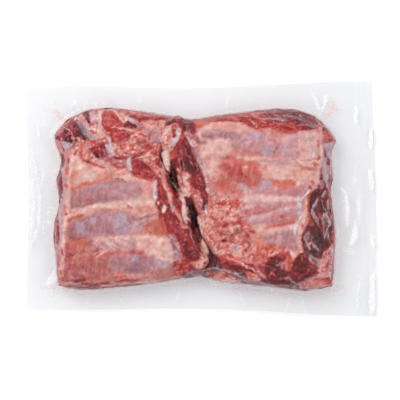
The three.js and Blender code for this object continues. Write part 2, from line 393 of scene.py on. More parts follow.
@dataclass(frozen=True)
class PackForm:
    """The outer form of the pack, with the same sizes as the solid."""

    bag_length: float = 300.0
    bag_width: float = 200.8
    left_corners_in: tuple[float, float] = (1.8, 0.0)
    right_corners_in: tuple[float, float] = (0.0, 3.8)
    bottom_corners_in: tuple[float, float] = (6.1, 0.0)
    top_corners_in: tuple[float, float] = (3.8, 0.0)
    edge_bow: tuple[float, float, float, float] = (3.2, 1.4, 3.9, -4.3)
    seam_height: float = 7.5
    border_edge_height: float = 3.6
    wave_height: float = 0.8
    wave_length: float = 95.0
    left_height: float = 25.0
    right_height: float = 26.5
    shoulders: tuple[float, float, float, float] = (10.0, 20.0, 8.0, 12.0)
    underside_shoulder: float = 8.0
    cleft_half_width: float = 5.0

    top_left: tuple[float, float] = (-115.0, 67.0)
    top_right: tuple[float, float] = (104.0, 66.0)
    bottom_right: tuple[float, float] = (112.5, -74.5)
    bottom_left: tuple[float, float] = (-121.5, -74.5)
    cleft_top: tuple[float, float] = (-17.0, 70.0)
    cleft_bottom: tuple[float, float] = (4.5, -67.2)

    ribs: tuple[Ridge, ...] = (
        Ridge(((-109, 23), (-85, 26), (-62, 25)), 8.5, 1.8),
        Ridge(((-109, 4), (-75, 7), (-43, 8)), 8.5, 1.8),
        Ridge(((-111, -24), (-70, -20), (-35, -20)), 8.5, 1.8),
        Ridge(((-113, -54), (-70, -53), (-31, -56)), 8.5, 1.8),
        Ridge(((29, 45), (65, 47), (100, 45)), 8.5, 1.8),
        Ridge(((12, 11), (55, 15), (95, 16)), 8.5, 1.8),
        Ridge(((23, -12), (55, -7), (85, -4)), 8.5, 1.8),
        Ridge(((46, -37), (65, -34), (83, -33)), 8.5, 1.8),
    )
    side_muscles: tuple[Ridge, ...] = (
        Ridge(((108, 30), (101, 8), (99, -20), (102, -60)), 9.0, -4.0),
        Ridge(((2, 70), (42, 69), (75, 68), (98, 64)), 7.0, -2.5),
    )

    @cached_property
    def outer_left(self) -> Curve:
        """The left slab's outer side, from the bottom up."""
        between = ((-124, -50), (-125, -24), (-120.5, -2), (-123, 14), (-119.5, 33), (-124.5, 53))
        return Curve((self.bottom_left, *between, self.top_left))

    @cached_property
    def outer_right(self) -> Curve:
        """The right slab's outer side, from the bottom up."""
        between = ((114.5, -48), (115, -27), (111, 7), (112.5, 18), (112, 40), (115, 50))
        return Curve((self.bottom_right, *between, self.top_right))

    @cached_property
    def top_of_left(self) -> Curve:
        """The left slab's upper side, from left to right."""
        return Curve((self.top_left, (-97, 75.5), (-78, 77.4), (-58, 76), (-36, 72.8), self.cleft_top))

    @cached_property
    def top_of_right(self) -> Curve:
        """The right slab's upper side, from left to right."""
        between = ((-7, 68), (14, 71.5), (41, 74.7), (67, 77), (88, 74.5))
        return Curve((self.cleft_top, *between, self.top_right))

    @cached_property
    def bottom_of_left(self) -> Curve:
        """The left slab's lower side, from left to right."""
        between = ((-103, -78), (-73, -76), (-35, -71.5), (-5, -66.5))
        return Curve((self.bottom_left, *between, self.cleft_bottom))

    @cached_property
    def bottom_of_right(self) -> Curve:
        """The right slab's lower side, from left to right."""
        between = ((17, -70.7), (42, -73.5), (67, -76.2), (92, -78.2))
        return Curve((self.cleft_bottom, *between, self.bottom_right))

    @cached_property
    def cleft(self) -> Curve:
        """The line between the slabs from the bottom up, with how deep the film dips as a third value."""
        between = (
            (9, -60, 6), (10.5, -53, 8), (5, -42, 7), (-2, -28, 9), (-7, -14, 8),
            (-14, 0, 8), (-22, 14, 9), (-30, 31, 6), (-33, 46, 4), (-28, 60, 4),
        )
        return Curve(((*self.cleft_bottom, 6), *between, (*self.cleft_top, 6)))

    @cached_property
    def edges(self) -> tuple[BagEdge, BagEdge, BagEdge, BagEdge]:
        """The bag's left, right, bottom and top edges."""
        x, y = self.bag_length / 2, self.bag_width / 2
        low_left = (-x + self.left_corners_in[0], -y + self.bottom_corners_in[0])
        high_left = (-x + self.left_corners_in[1], y - self.top_corners_in[0])
        low_right = (x - self.right_corners_in[0], -y + self.bottom_corners_in[1])
        high_right = (x - self.right_corners_in[1], y - self.top_corners_in[1])
        left, right, bottom, top = self.edge_bow
        return (
            BagEdge(low_left, high_left, (left, 0.0)),
            BagEdge(low_right, high_right, (right, 0.0)),
            BagEdge(low_left, low_right, (0.0, bottom)),
            BagEdge(high_left, high_right, (0.0, top)),
        )

    def side_distances(self, x: np.ndarray, y: np.ndarray) -> tuple[np.ndarray, ...]:
        """The distances to the meat's left, right, bottom and top sides."""
        bottom = np.minimum(self.bottom_of_left.distance(x, y), self.bottom_of_right.distance(x, y))
        top = np.minimum(self.top_of_left.distance(x, y), self.top_of_right.distance(x, y))
        return self.outer_left.distance(x, y), self.outer_right.distance(x, y), bottom, top

    def outline(self) -> np.ndarray:
        """The meat's outline as a closed polyline."""
        lower = np.vstack([self.bottom_of_left.line, self.bottom_of_right.line, self.outer_right.line])
        upper = np.vstack([self.top_of_left.line, self.top_of_right.line])[::-1]
        return np.vstack([lower, upper, self.outer_left.line[::-1]])

    def right_edge_distance(self, x: np.ndarray, y: np.ndarray) -> np.ndarray:
        """How far each point is from the bag's right edge."""
        return line_distance(np.array(self.edges[1].at(np.linspace(0, 1, 40))), x, y)[0]

    def outline_length(self) -> float:
        """How long the meat's outline is."""
        steps = np.diff(self.outline(), axis=0, append=self.outline()[:1])
        return float(np.hypot(steps[:, 0], steps[:, 1]).sum())

    def crown(self, x: np.ndarray, y: np.ndarray) -> np.ndarray:
        """The film's height away from the sides and the cleft.

        The left slab's height blends into the right one's, and the ribs and side muscles are added.
        """
        height = lerp(self.left_height, self.right_height, smooth((x + 20.0) / 40.0))
        for ridge in (*self.ribs, *self.side_muscles):
            height = height + ridge.height(x, y)
        return height

    def dip(self, x: np.ndarray, y: np.ndarray) -> np.ndarray:
        """How far the film dips at the cleft: a bell curve across it, as deep as the cleft says."""
        line = self.cleft.line
        distance, where = line_distance(line, x, y)
        depth = np.interp(where, np.arange(len(line)), line[:, 2])
        return depth * np.exp(-((distance / self.cleft_half_width) ** 2))

    def border_height(self, x: np.ndarray, y: np.ndarray, outward: np.ndarray) -> np.ndarray:
        """The flat border's height: it falls from the seam to the bag's edge in a gentle wave."""
        wave = np.sin(2 * np.pi * (x + 0.7 * y) / self.wave_length)
        level = lerp(self.seam_height, self.border_edge_height, smooth(outward))
        return level + self.wave_height * outward * wave


FORM = PackForm()


@dataclass(frozen=True)
class Mark:
    """One painted feature, placed in the photograph's pixels.

    Its points are pairs of x and y. With a width it is a line, and without one it fills the outline.
    soft is how far its edge fades, ragged is how much noise eats into it, and rise is in millimetres.
    """

    tone: Tone
    points: tuple[float, ...]
    width: float = 0.0
    blend: float = 1.0
    soft: float = 1.0
    ragged: float = 0.0
    rise: float = 0.0

    def weight(self, x: np.ndarray, y: np.ndarray, seed: int) -> tuple[np.ndarray, np.ndarray]:
        """How strongly the mark covers each point.

        The depth inside the mark, less some noise where it is ragged, fades in over the soft edge.

        Args:
            x: The points' first pixel coordinates.
            y: Their second.
            seed: Which noise.

        Returns:
            The numbers of the points that the mark may reach, and the weight of each.
        """
        corner = np.array(self.points, dtype=float).reshape(-1, 2)
        reach = self.width / 2 + self.soft + 2 * self.ragged
        near = (
            (x > corner[:, 0].min() - reach) & (x < corner[:, 0].max() + reach)
            & (y > corner[:, 1].min() - reach) & (y < corner[:, 1].max() + reach)
        )
        chosen = np.flatnonzero(near)
        px, py = x[chosen], y[chosen]
        if self.width > 0:
            line = Curve(tuple(map(tuple, corner)), 6).line if len(corner) > 2 else corner
            distance, where = line_distance(line, px, py)
            taper = np.minimum(1.0, 0.35 + 4.0 * np.minimum(where, len(line) - 1 - where) / (len(line) - 1))
            depth = self.width / 2 * taper - distance
        else:
            outline = Curve((*map(tuple, corner), tuple(corner[0])), 4).line[:-1]
            distance = line_distance(np.vstack([outline, outline[:1]]), px, py)[0]
            depth = np.where(inside_outline(outline, px, py), distance, -distance)
        if self.ragged:
            depth = depth + self.ragged * layered_noise(px, py, 4.0, seed, 3) * 1.6
        return chosen, smooth(0.5 + depth / max(self.soft, 0.05) / 2) * self.blend


@dataclass(frozen=True)
class Grain:
    """Fibres or granules of one tone inside an outline, placed in the photograph's pixels.

    Fibres run at the angle given, in degrees counter-clockwise from the right. Granules are fibres
    of the same length and width.
    """

    tone: Tone
    outline: tuple[float, ...]
    size: float = 2.0
    stretch: float = 1.0
    angle: float = 0.0
    cover: float = 0.5
    blend: float = 0.6
    soft: float = 2.0
    rise: float = 0.0

    def weight(self, x: np.ndarray, y: np.ndarray, seed: int) -> tuple[np.ndarray, np.ndarray]:
        """How strongly the grain covers each point: turned and stretched noise, cut off at a level.

        Args:
            x: The points' first pixel coordinates.
            y: Their second.
            seed: Which noise.

        Returns:
            The numbers of the points that the grain may reach, and the weight of each.
        """
        chosen, area = Mark(self.tone, self.outline, soft=self.soft).weight(x, y, seed)
        px, py = x[chosen], y[chosen]
        turn = math.radians(self.angle)
        along = px * math.cos(turn) - py * math.sin(turn)
        across = px * math.sin(turn) + py * math.cos(turn)
        pattern = layered_noise(along / self.stretch, across, self.size, seed + 50, 2)
        return chosen, area * smooth((pattern + (self.cover - 0.5) * 1.4) / 0.5 + 0.5) * self.blend


@dataclass
class Paint:
    """Colour and relief laid over points, mark by mark."""

    x: np.ndarray
    y: np.ndarray
    base: Tone
    wander: float = 0.8
    colour: np.ndarray = field(init=False)
    rise: np.ndarray = field(init=False)
    cover: np.ndarray = field(init=False)

    def __post_init__(self) -> None:
        """Starts with the base tone, and lets the marks' edges wander by a little noise."""
        px, py = to_photo(self.x, self.y)
        self.px = px + self.wander * sum(share * noise(px, py, cell, 11) for cell, share in EDGE_WANDER)
        self.py = py + self.wander * sum(share * noise(px, py, cell, 13) for cell, share in EDGE_WANDER)
        self.colour = np.tile(np.array(self.base.value, dtype=float), (len(px), 1))
        self.rise = np.zeros(len(px))
        self.cover = np.zeros(len(px))

    def lay(self, marks: tuple[Mark | Grain, ...], seed: int) -> None:
        """Lays the marks over one another in order.

        Each mark's weight blends its tone over what is there, and adds its rise.

        Args:
            marks: What to paint.
            seed: The first mark's noise. Each later one has its own.
        """
        for k, mark in enumerate(marks):
            chosen, weight = mark.weight(self.px, self.py, seed + 7 * k)
            tone = np.array(mark.tone.value, dtype=float)
            self.colour[chosen] += (tone - self.colour[chosen]) * weight[:, None]
            self.rise[chosen] += mark.rise * weight
            self.cover[chosen] += (1.0 - self.cover[chosen]) * weight


class Seed(IntEnum):
    """The first mark's noise in each set of marks."""

    MEAT = 100
    BUSY = 700
    HAZE_GLARE_AND_SHADE = 900
    PLEAT_HIGHLIGHTS = 1300
    JUICE = 1500


def painted(
    x: np.ndarray,
    y: np.ndarray,
    base: Tone,
    marks: tuple[Mark | Grain, ...],
    seed: Seed,
    wander: float = 0.8,
) -> Paint:
    """Lays marks over a base tone at every point of a grid.

    Args:
        x: First coordinates, in millimetres.
        y: Second coordinates.
        base: The tone under the marks.
        marks: What to paint.
        seed: The first mark's noise.
        wander: How far the marks' edges wander, in pixels.

    Returns:
        The paint, with its points in one row.
    """
    paint = Paint(x.ravel(), y.ravel(), base, wander)
    paint.lay(marks, seed)
    return paint


def strokes(tone: Tone, width: float, *lines: tuple[float, ...], **look: float) -> tuple[Mark, ...]:
    """Lines of one tone and width, a little ragged."""
    look = {"blend": 0.85, "ragged": 0.4, **look}
    return tuple(Mark(tone, line, width, **look) for line in lines)


def areas(tone: Tone, *outlines: tuple[float, ...], **look: float) -> tuple[Mark, ...]:
    """Filled outlines of one tone, a little ragged."""
    look = {"blend": 0.85, "ragged": 0.4, "soft": 1.8, **look}
    return tuple(Mark(tone, outline, **look) for outline in outlines)


@dataclass(frozen=True)
class Tissue:
    """One kind of tissue: a ground tone, and the grains that mottle it.

    Each grain has its tone, its size in pixels, its stretch along the fibres, and how much of the
    tissue it covers and how strongly.
    """

    ground: Tone
    grains: tuple[tuple[Tone, float, float, float, float], ...]
    soft: float = 1.2
    rise: float = 0.0

    def lay(
        self, *outlines: tuple[float, ...], angle: float = 0.0, blend: float = 1.0
    ) -> tuple[Mark | Grain, ...]:
        """The tissue inside each outline.

        Args:
            *outlines: Closed outlines in pixels.
            angle: The fibres' direction, in degrees counter-clockwise from the right.
            blend: How strongly all of it covers what is there.

        Returns:
            The marks and grains, in the order in which they are laid.
        """
        laid = []
        for outline in outlines:
            laid.append(Mark(self.ground, outline, blend=blend, soft=self.soft, ragged=0.4, rise=self.rise))
            for tone, size, stretch, cover, share in self.grains:
                grain = Grain(tone, outline, size, stretch, angle, cover, share * blend, 1.5 * self.soft)
                laid.append(grain)
        return tuple(laid)


MEMBRANE = Tissue(
    Tone.MAUVE,
    ((Tone.PURPLE, 10.0, 1.5, 0.42, 0.36), (Tone.LILAC, 10.0, 2.0, 0.5, 0.5),
     (Tone.LAVENDER, 6.0, 1.8, 0.28, 0.4),
     (Tone.BROWN, 7.0, 1.6, 0.3, 0.3)),
    soft=2.6, rise=-0.4,
)
THIN_MEMBRANE = Tissue(
    Tone.LILAC,
    ((Tone.ROSE, 10.0, 3.0, 0.48, 0.5), (Tone.PALE, 8.0, 3.5, 0.28, 0.36),
     (Tone.LAVENDER, 7.0, 3.0, 0.28, 0.36),
     (Tone.ROSE, 3.0, 4.0, 0.22, 0.36)),
    soft=3.0,
)
BONE = Tissue(
    Tone.CREAM,
    ((Tone.PALE, 9.0, 3.0, 0.5, 0.55), (Tone.PEACH, 6.0, 2.5, 0.32, 0.36)),
    soft=2.6,
    rise=0.8,
)
STAINED = Tissue(
    Tone.BROWN,
    ((Tone.RUST, 4.5, 1.4, 0.4, 0.5), (Tone.MAUVE, 5.0, 1.6, 0.36, 0.5), (Tone.MAGENTA, 3.4, 1.2, 0.25, 0.6),
     (Tone.PEACH, 2.6, 1.5, 0.22, 0.5)),
    soft=3.0,
)
MUSCLE = Tissue(
    Tone.RED,
    ((Tone.CRIMSON, 3.4, 2.0, 0.5, 0.7), (Tone.MAROON, 1.7, 2.0, 0.4, 0.75),
     (Tone.SCARLET, 1.7, 2.4, 0.3, 0.65),
     (Tone.PINK, 1.2, 3.5, 0.14, 0.7)),
    soft=1.0, rise=0.2,
)
DARK_MUSCLE = Tissue(
    Tone.MAROON,
    ((Tone.WINE, 3.2, 1.6, 0.62, 0.9), (Tone.CRIMSON, 2.0, 1.6, 0.34, 0.7),
     (Tone.BLACK, 1.8, 1.4, 0.22, 0.6),
     (Tone.ROSE, 1.2, 2.6, 0.16, 0.7)),
    soft=1.0,
)
FAT = Tissue(
    Tone.PEACH,
    ((Tone.PALE, 2.8, 1.5, 0.48, 0.75), (Tone.RUST, 2.3, 1.7, 0.36, 0.7), (Tone.RED, 1.8, 1.8, 0.2, 0.7)),
    soft=1.4, rise=0.3,
)
CRUMBLED = Tissue(
    Tone.PEACH,
    ((Tone.ROSE, 6.0, 1.5, 0.45, 0.6), (Tone.PALE, 2.0, 2.2, 0.36, 0.6), (Tone.RUST, 2.1, 2.2, 0.4, 0.75),
     (Tone.CRIMSON, 1.5, 2.6, 0.22, 0.8)),
    soft=2.0, rise=0.2,
)

LEFT_GROUND = (
    *areas(Tone.PEACH, (68, 162, 90, 160, 130, 170, 170, 182, 182, 240, 182, 282, 60, 290, 62, 230),
        blend=1.0, soft=6.0),
    *BONE.lay((80, 168, 96, 167, 110, 171, 106, 179, 78, 183, 71, 188, 76, 176), (114, 170, 130, 172, 150,
        184, 152, 200, 142, 199, 138, 184, 116, 178), blend=0.7),
    *areas(Tone.ORANGE, (99, 173, 113, 172, 112, 181, 101, 182), (72, 156, 78, 160, 77, 176, 73, 186),
        blend=0.55, soft=3.0),
    *strokes(Tone.ORANGE, 2.2, (115, 174, 126, 174), (98, 181, 106, 180, 113, 178), (128, 183, 138, 183),
        blend=0.6),
    *MEMBRANE.lay((70, 192, 84, 187, 100, 185, 112, 181, 128, 181, 137, 185, 142, 193, 139, 199, 118, 201,
        100, 204, 84, 208, 70, 209), angle=15),
    *areas(Tone.LILAC, (108, 188, 120, 183, 136, 186, 141, 193, 136, 198, 116, 199), blend=0.7, soft=3.0),
    # Painted highlight on the first membrane.
    *areas(Tone.LAVENDER, (90, 187, 104, 184, 109, 185, 102, 190), blend=0.7),
    *areas(Tone.BROWN, (98, 190, 112, 188, 110, 195, 98, 202, 92, 199), (70, 194, 78, 190, 84, 198, 82, 206,
        70, 208), blend=0.45, soft=4.0),
    *strokes(Tone.RUST, 3.4, (89, 197, 90, 202), blend=0.6, soft=1.6),
    *strokes(Tone.RED, 1.7, (116, 178, 121, 178.8, 127, 181), (140, 188, 142, 192), (147, 189, 153, 187),
        blend=0.7),
    *strokes(Tone.RUST, 2.4, (70, 190, 76, 188.4, 84, 184.6), (83, 184, 98, 182.8), soft=1.2, rise=-0.3),
    *areas(Tone.PEACH, (142, 184, 154, 186, 156, 202, 143, 201), soft=2.6),
    *BONE.lay((68, 211, 84, 208, 100, 204, 120, 201, 154, 199, 156, 208, 130, 210, 100, 211, 80, 215, 68,
        217)),
    *strokes(Tone.PALE, 5.0, (76, 212, 90, 208.6, 104, 206, 130, 203, 148, 203), (84, 178, 98, 174),
        blend=0.8, soft=2.4),
    *strokes(Tone.ORANGE, 3.0, (67, 209, 72, 212, 78, 211), (96, 210, 110, 209, 126, 210), (136, 209, 158,
        208), blend=0.55, soft=1.8),
    *strokes(Tone.SCARLET, 3.6, (128, 205.5, 131, 209), blend=0.7, soft=1.4),
    *MEMBRANE.lay((68, 222, 84, 217, 100, 213, 118, 211, 130, 213, 142, 217, 158, 215, 160, 229, 150, 235,
        120, 236, 95, 238, 78, 240, 66, 240), angle=10),
    *areas(Tone.PURPLE, (70, 222, 90, 220, 93, 232, 84, 239, 68, 238), (100, 221, 108, 219, 112, 229, 102,
        234), blend=0.5, soft=3.6),
    *areas(Tone.BROWN, (90, 224, 98, 223, 99, 232, 91, 233), (111, 228, 116, 232, 112, 237, 108, 232), (68,
        222, 76, 222, 74, 236, 68, 238), blend=0.5, soft=2.6),
    # The first of these lavender patches is a painted highlight on the second membrane.
    *areas(Tone.LAVENDER, (116, 215, 128, 213, 131, 226, 127, 234, 116, 233), (77, 222, 84, 222, 83, 233,
        77, 234), (131, 219.5, 136, 221, 143, 218.5, 142, 223, 136, 227, 132, 225), (91, 218, 97, 217, 96,
        225, 92, 226), blend=0.75),
    *strokes(Tone.BROWN, 2.3, (127, 213, 130, 223, 132, 226.5), (132, 216, 136, 220, 143, 217.5, 156, 214),
        (137, 227, 143, 223.5, 148, 222.3, 149, 224.5, 143, 226.5), rise=0.3),
    # The second pale stroke is a painted glint.
    *strokes(Tone.PALE, 1.8, (139, 215.5, 146, 214.8), (144.5, 223.7, 147, 223.2), blend=0.7),
    *areas(Tone.RUST, (150, 221, 160, 217, 167, 226, 165, 234, 152, 235, 143, 231), soft=2.6, blend=0.75),
    *strokes(Tone.ORANGE, 3.2, (138, 233, 150, 233, 164, 235), blend=0.6, soft=1.5),
    *strokes(Tone.PINK, 2.0, (128, 231, 140, 230, 152, 229.5), (150, 218, 158, 219), blend=0.7),
    *strokes(Tone.RUST, 3.6, (66, 221, 71, 218.5, 77, 216.8, 84, 215), soft=1.3, rise=-0.3),
    *strokes(Tone.RED, 2.4, (66, 220.8, 70, 219.6, 74, 217.6), soft=1.0),
    *BONE.lay((90, 240, 105, 237, 125, 236, 150, 236, 170, 238, 174, 250, 174, 264, 160, 266, 150, 262, 145,
        250, 130, 242, 104, 243), blend=0.9),
    *areas(Tone.PALE, (150, 240, 160, 238, 170, 242, 172, 260, 162, 262, 152, 254), blend=0.6, soft=2.6),
    *strokes(Tone.RUST, 3.4, (154, 246.5, 156.5, 248.5), (162, 243, 165, 243.5), blend=0.4, soft=1.8),
    *strokes(Tone.ORANGE, 4.0, (151, 257, 154, 257.5), (147, 241, 151, 243), (134, 244, 137, 246), (163,
        255, 166, 256), blend=0.55, soft=2.0),
    *STAINED.lay((66, 238, 80, 238, 92, 240, 96, 250, 110, 258, 113, 272, 98, 282, 62, 286, 64, 250)),
    *areas(Tone.RUST, (68, 239, 84, 238, 90, 243, 84, 249, 68, 249), (77, 255, 83, 255, 83, 261, 78, 262),
        (88, 252, 98, 251, 97, 256, 89, 257), blend=0.38, soft=2.6),
    *strokes(Tone.CRIMSON, 2.0, (70, 237, 84, 239), (68, 253, 74, 254, 84, 252), blend=0.55, soft=1.4),
    *areas(Tone.LILAC, (92, 243, 106, 241, 136, 240, 136, 248, 104, 250, 90, 249), blend=0.7, soft=2.2),
    Grain(Tone.MAUVE, (92, 243, 106, 240, 138, 240, 138, 250, 104, 252, 92, 252), 1.7, 4.0, -42, 0.5, 0.6),
    Grain(Tone.PALE, (92, 243, 106, 240, 138, 240, 138, 250, 104, 252, 92, 252), 1.7, 4.0, -42, 0.42, 0.6,
        rise=0.2),
    *areas(Tone.BROWN, (97, 258, 114, 258, 122, 266, 104, 270), blend=0.6, soft=3.0),
    *strokes(Tone.ROSE, 6.0, (98, 257, 106, 254.5, 118, 252.5, 143, 252), soft=2.4),
    *strokes(Tone.RED, 2.6, (103, 256, 112, 253.6, 122, 252), (112, 254, 116, 253), blend=0.5, soft=1.4),
    *strokes(Tone.MAGENTA, 4.0, (128, 251, 135, 253, 141, 252), blend=0.6, soft=1.8),
    *strokes(Tone.RUST, 4.0, (141, 250, 142.5, 254), blend=0.7, soft=1.4),
    *strokes(Tone.CRIMSON, 2.4, (88, 252, 95, 250.3, 104, 247.6), blend=0.65, soft=1.2),
    # Painted highlight line along the rosy band.
    *strokes(Tone.PALE, 1.8, (97, 258, 101, 254, 107, 251.3), soft=0.8, rise=0.3),
    *MEMBRANE.lay((112, 259, 125, 256, 145, 256, 165, 262, 173, 263, 171, 271, 155, 272, 140, 275, 125, 273,
        110, 270)),
    # Painted shade: the third membrane's lower part, turned away from the light.
    *areas(Tone.SLATE, (125, 263, 138, 263, 137, 272, 126, 271), (139, 266, 148, 267, 146, 272, 139, 271),
        blend=0.45, soft=3.4),
    *areas(Tone.PURPLE, (118, 258, 146, 257, 152, 264, 140, 272, 118, 271), blend=0.4, soft=4.0),
    *areas(Tone.LAVENDER, (150, 260, 172, 262, 170, 269, 156, 268), (132, 256, 138, 256, 138, 261, 132,
        261), blend=0.6),
    *areas(Tone.MAGENTA, (67, 264, 75, 264, 75, 271, 67, 271), (87, 259, 94, 260, 94, 266, 87, 265), (81,
        263, 86, 263, 85, 268, 81, 267), (73, 273, 78, 273, 76, 278), (140, 255, 148, 256, 146, 261),
        blend=0.55, soft=2.2),
    *strokes(Tone.CRIMSON, 2.8, (110, 268.5, 110.5, 273), (66, 256, 74, 255), blend=0.75, soft=1.2),
    *areas(Tone.PEACH, (98, 274, 140, 275, 183, 270, 184, 281, 140, 283, 98, 282), soft=2.4),
    *STAINED.lay((98, 272, 118, 273, 128, 276, 112, 281, 98, 280), (150, 271, 174, 268, 176, 277, 152, 278),
        blend=0.7),
    *strokes(Tone.RUST, 2.6, (95, 279.5, 101, 279), (114, 277.3, 128, 277.3), (145, 277, 149, 277), (118,
        273, 123, 273)),
    *areas(Tone.MAUVE, (66, 282, 96, 281, 124, 281, 182, 279, 184, 284, 120, 287, 66, 289), blend=0.5),
    *strokes(Tone.MAROON, 2.6, (64, 287, 98, 288, 130, 285.5, 150, 284, 182, 281), (68, 281, 76, 281, 86,
        279.6), (82, 284, 92, 285, 104, 284), blend=0.7, soft=1.3, ragged=0.8),
    *strokes(Tone.CRIMSON, 2.6, (116, 282, 126, 280.6, 144, 279.6), (97, 284, 110, 283), soft=1.0),
    *strokes(Tone.CREAM, 1.8, (134, 282.8, 160, 281.6), (66, 284, 80, 283), (100, 286.4, 112, 285),
        soft=0.8),
    *strokes(Tone.PURPLE, 2.6, (71, 286.5, 82, 286), (96, 288, 102, 288), (130, 286, 136, 285.6),
        blend=0.7),
    Grain(Tone.PALE, (72, 184, 140, 172, 180, 200, 182, 276, 68, 282), 1.6, 6.0, 80, 0.4, 0.22),
    Grain(Tone.BROWN, (72, 184, 140, 172, 180, 200, 182, 276, 68, 282), 1.6, 5.0, 84, 0.3, 0.12),
)

LEFT_EDGE = (
    *areas(Tone.PINK, (54, 150, 70, 150, 69, 180, 66, 215, 64, 240, 62, 284, 52, 288, 50, 230), soft=1.5,
        blend=1.0),
    *strokes(Tone.PALE, 4.0, (75, 150, 71, 165, 69.5, 180, 68, 200, 66.5, 215, 64.5, 235, 62.5, 258, 61,
        283), soft=1.6, rise=0.4),
    *strokes(Tone.ORANGE, 2.6, (77, 160, 74, 170, 72, 186), (70, 190, 69, 205), (66, 226, 65.5, 240), (62,
        262, 62, 274), blend=0.6, soft=1.5),
    *strokes(Tone.LAVENDER, 4.0, (66, 152, 63.5, 190, 61, 222, 58, 260, 57, 280), blend=0.45, soft=1.4),
    *strokes(Tone.MAROON, 4.2, (62, 153, 62.6, 160, 63, 168), (60, 171, 60.6, 182, 61.6, 198), (57.6, 220,
        57, 230, 57.8, 244), blend=0.9, soft=1.1),
    *strokes(Tone.ROSE, 2.2, (58.5, 172, 57.5, 190, 55, 218), (56, 222, 55.5, 245), (57, 272, 58.5, 284),
        (68, 155, 69, 170), (66, 200, 65, 212), (60, 200, 58, 216), blend=0.7, soft=0.9),
    *strokes(Tone.GREY, 1.2, (56.5, 172, 56, 192, 53.5, 222), (55, 240, 56, 276), blend=0.35, soft=0.8),
    *areas(Tone.PALE, (73, 149, 82, 151, 86, 160, 84, 168, 76, 170, 71, 164), (66, 192, 70, 192, 70, 206,
        66, 206), blend=0.7, soft=1.6),
    *strokes(Tone.RED, 2.6, (62.3, 247, 63.4, 255), (66.3, 212, 66.6, 215), (61, 271, 61.5, 275), (69, 158,
        69.6, 163), (75, 153, 75.6, 156), (58, 262, 58.4, 268), soft=0.9),
    *strokes(Tone.SCARLET, 3.0, (60, 279.5, 68, 278.5), (57, 282, 60, 285, 64, 286.5), (59, 256, 58.5, 262),
        (67, 168, 68.4, 176), (66, 184, 67, 188), soft=1.2),
)

CORNER = (
    *DARK_MUSCLE.lay((55, 138, 62, 131, 66, 124, 68.5, 119.5, 75, 119.5, 81, 124, 86.5, 132, 89, 140, 78,
        139, 75, 146, 66, 143, 60, 140), angle=-50),
    *areas(Tone.CRIMSON, (66, 122, 74, 121, 78, 127, 76, 134, 70, 129), (57, 136, 62, 133, 66, 137, 60,
        139), blend=0.7),
    *strokes(Tone.SCARLET, 4.0, (53.5, 137.5, 58, 133.5, 63, 128, 67, 121, 70, 118.5, 77, 118.5), soft=1.4),
    *strokes(Tone.ROSE, 3.4, (57, 136, 61, 132.6, 64, 129), (58, 141, 60, 146, 61, 150), blend=0.8,
        soft=1.2),
    *strokes(Tone.ORANGE, 2.2, (53, 138, 56.5, 134), (64, 125, 67.5, 120), blend=0.7, soft=1.2),
    *strokes(Tone.PINK, 1.9, (63, 126.5, 68, 129.5, 71.8, 134, 74, 140, 74.6, 146), blend=1.0, soft=0.7,
        rise=0.5),
    *strokes(Tone.MAROON, 1.3, (70, 118.3, 82, 113.2), (61, 141.5, 62.6, 147, 64.6, 151), soft=0.7),
    *strokes(Tone.CREAM, 2.0, (74, 118.6, 78, 118.2), (60.5, 138.5, 62.5, 138.2), (76, 139.5, 80, 138),
        soft=0.7),
    # Painted highlight: the film's glare at the corner.
    *areas(Tone.LAVENDER, (61, 141, 67, 142, 73.6, 144, 72.5, 147.5, 66, 150.5, 64, 149.5), blend=0.95,
        soft=0.8),
    *strokes(Tone.ROSE, 3.0, (66, 151, 75, 147), (60.5, 142, 61, 150), blend=0.7, soft=1.2),
)

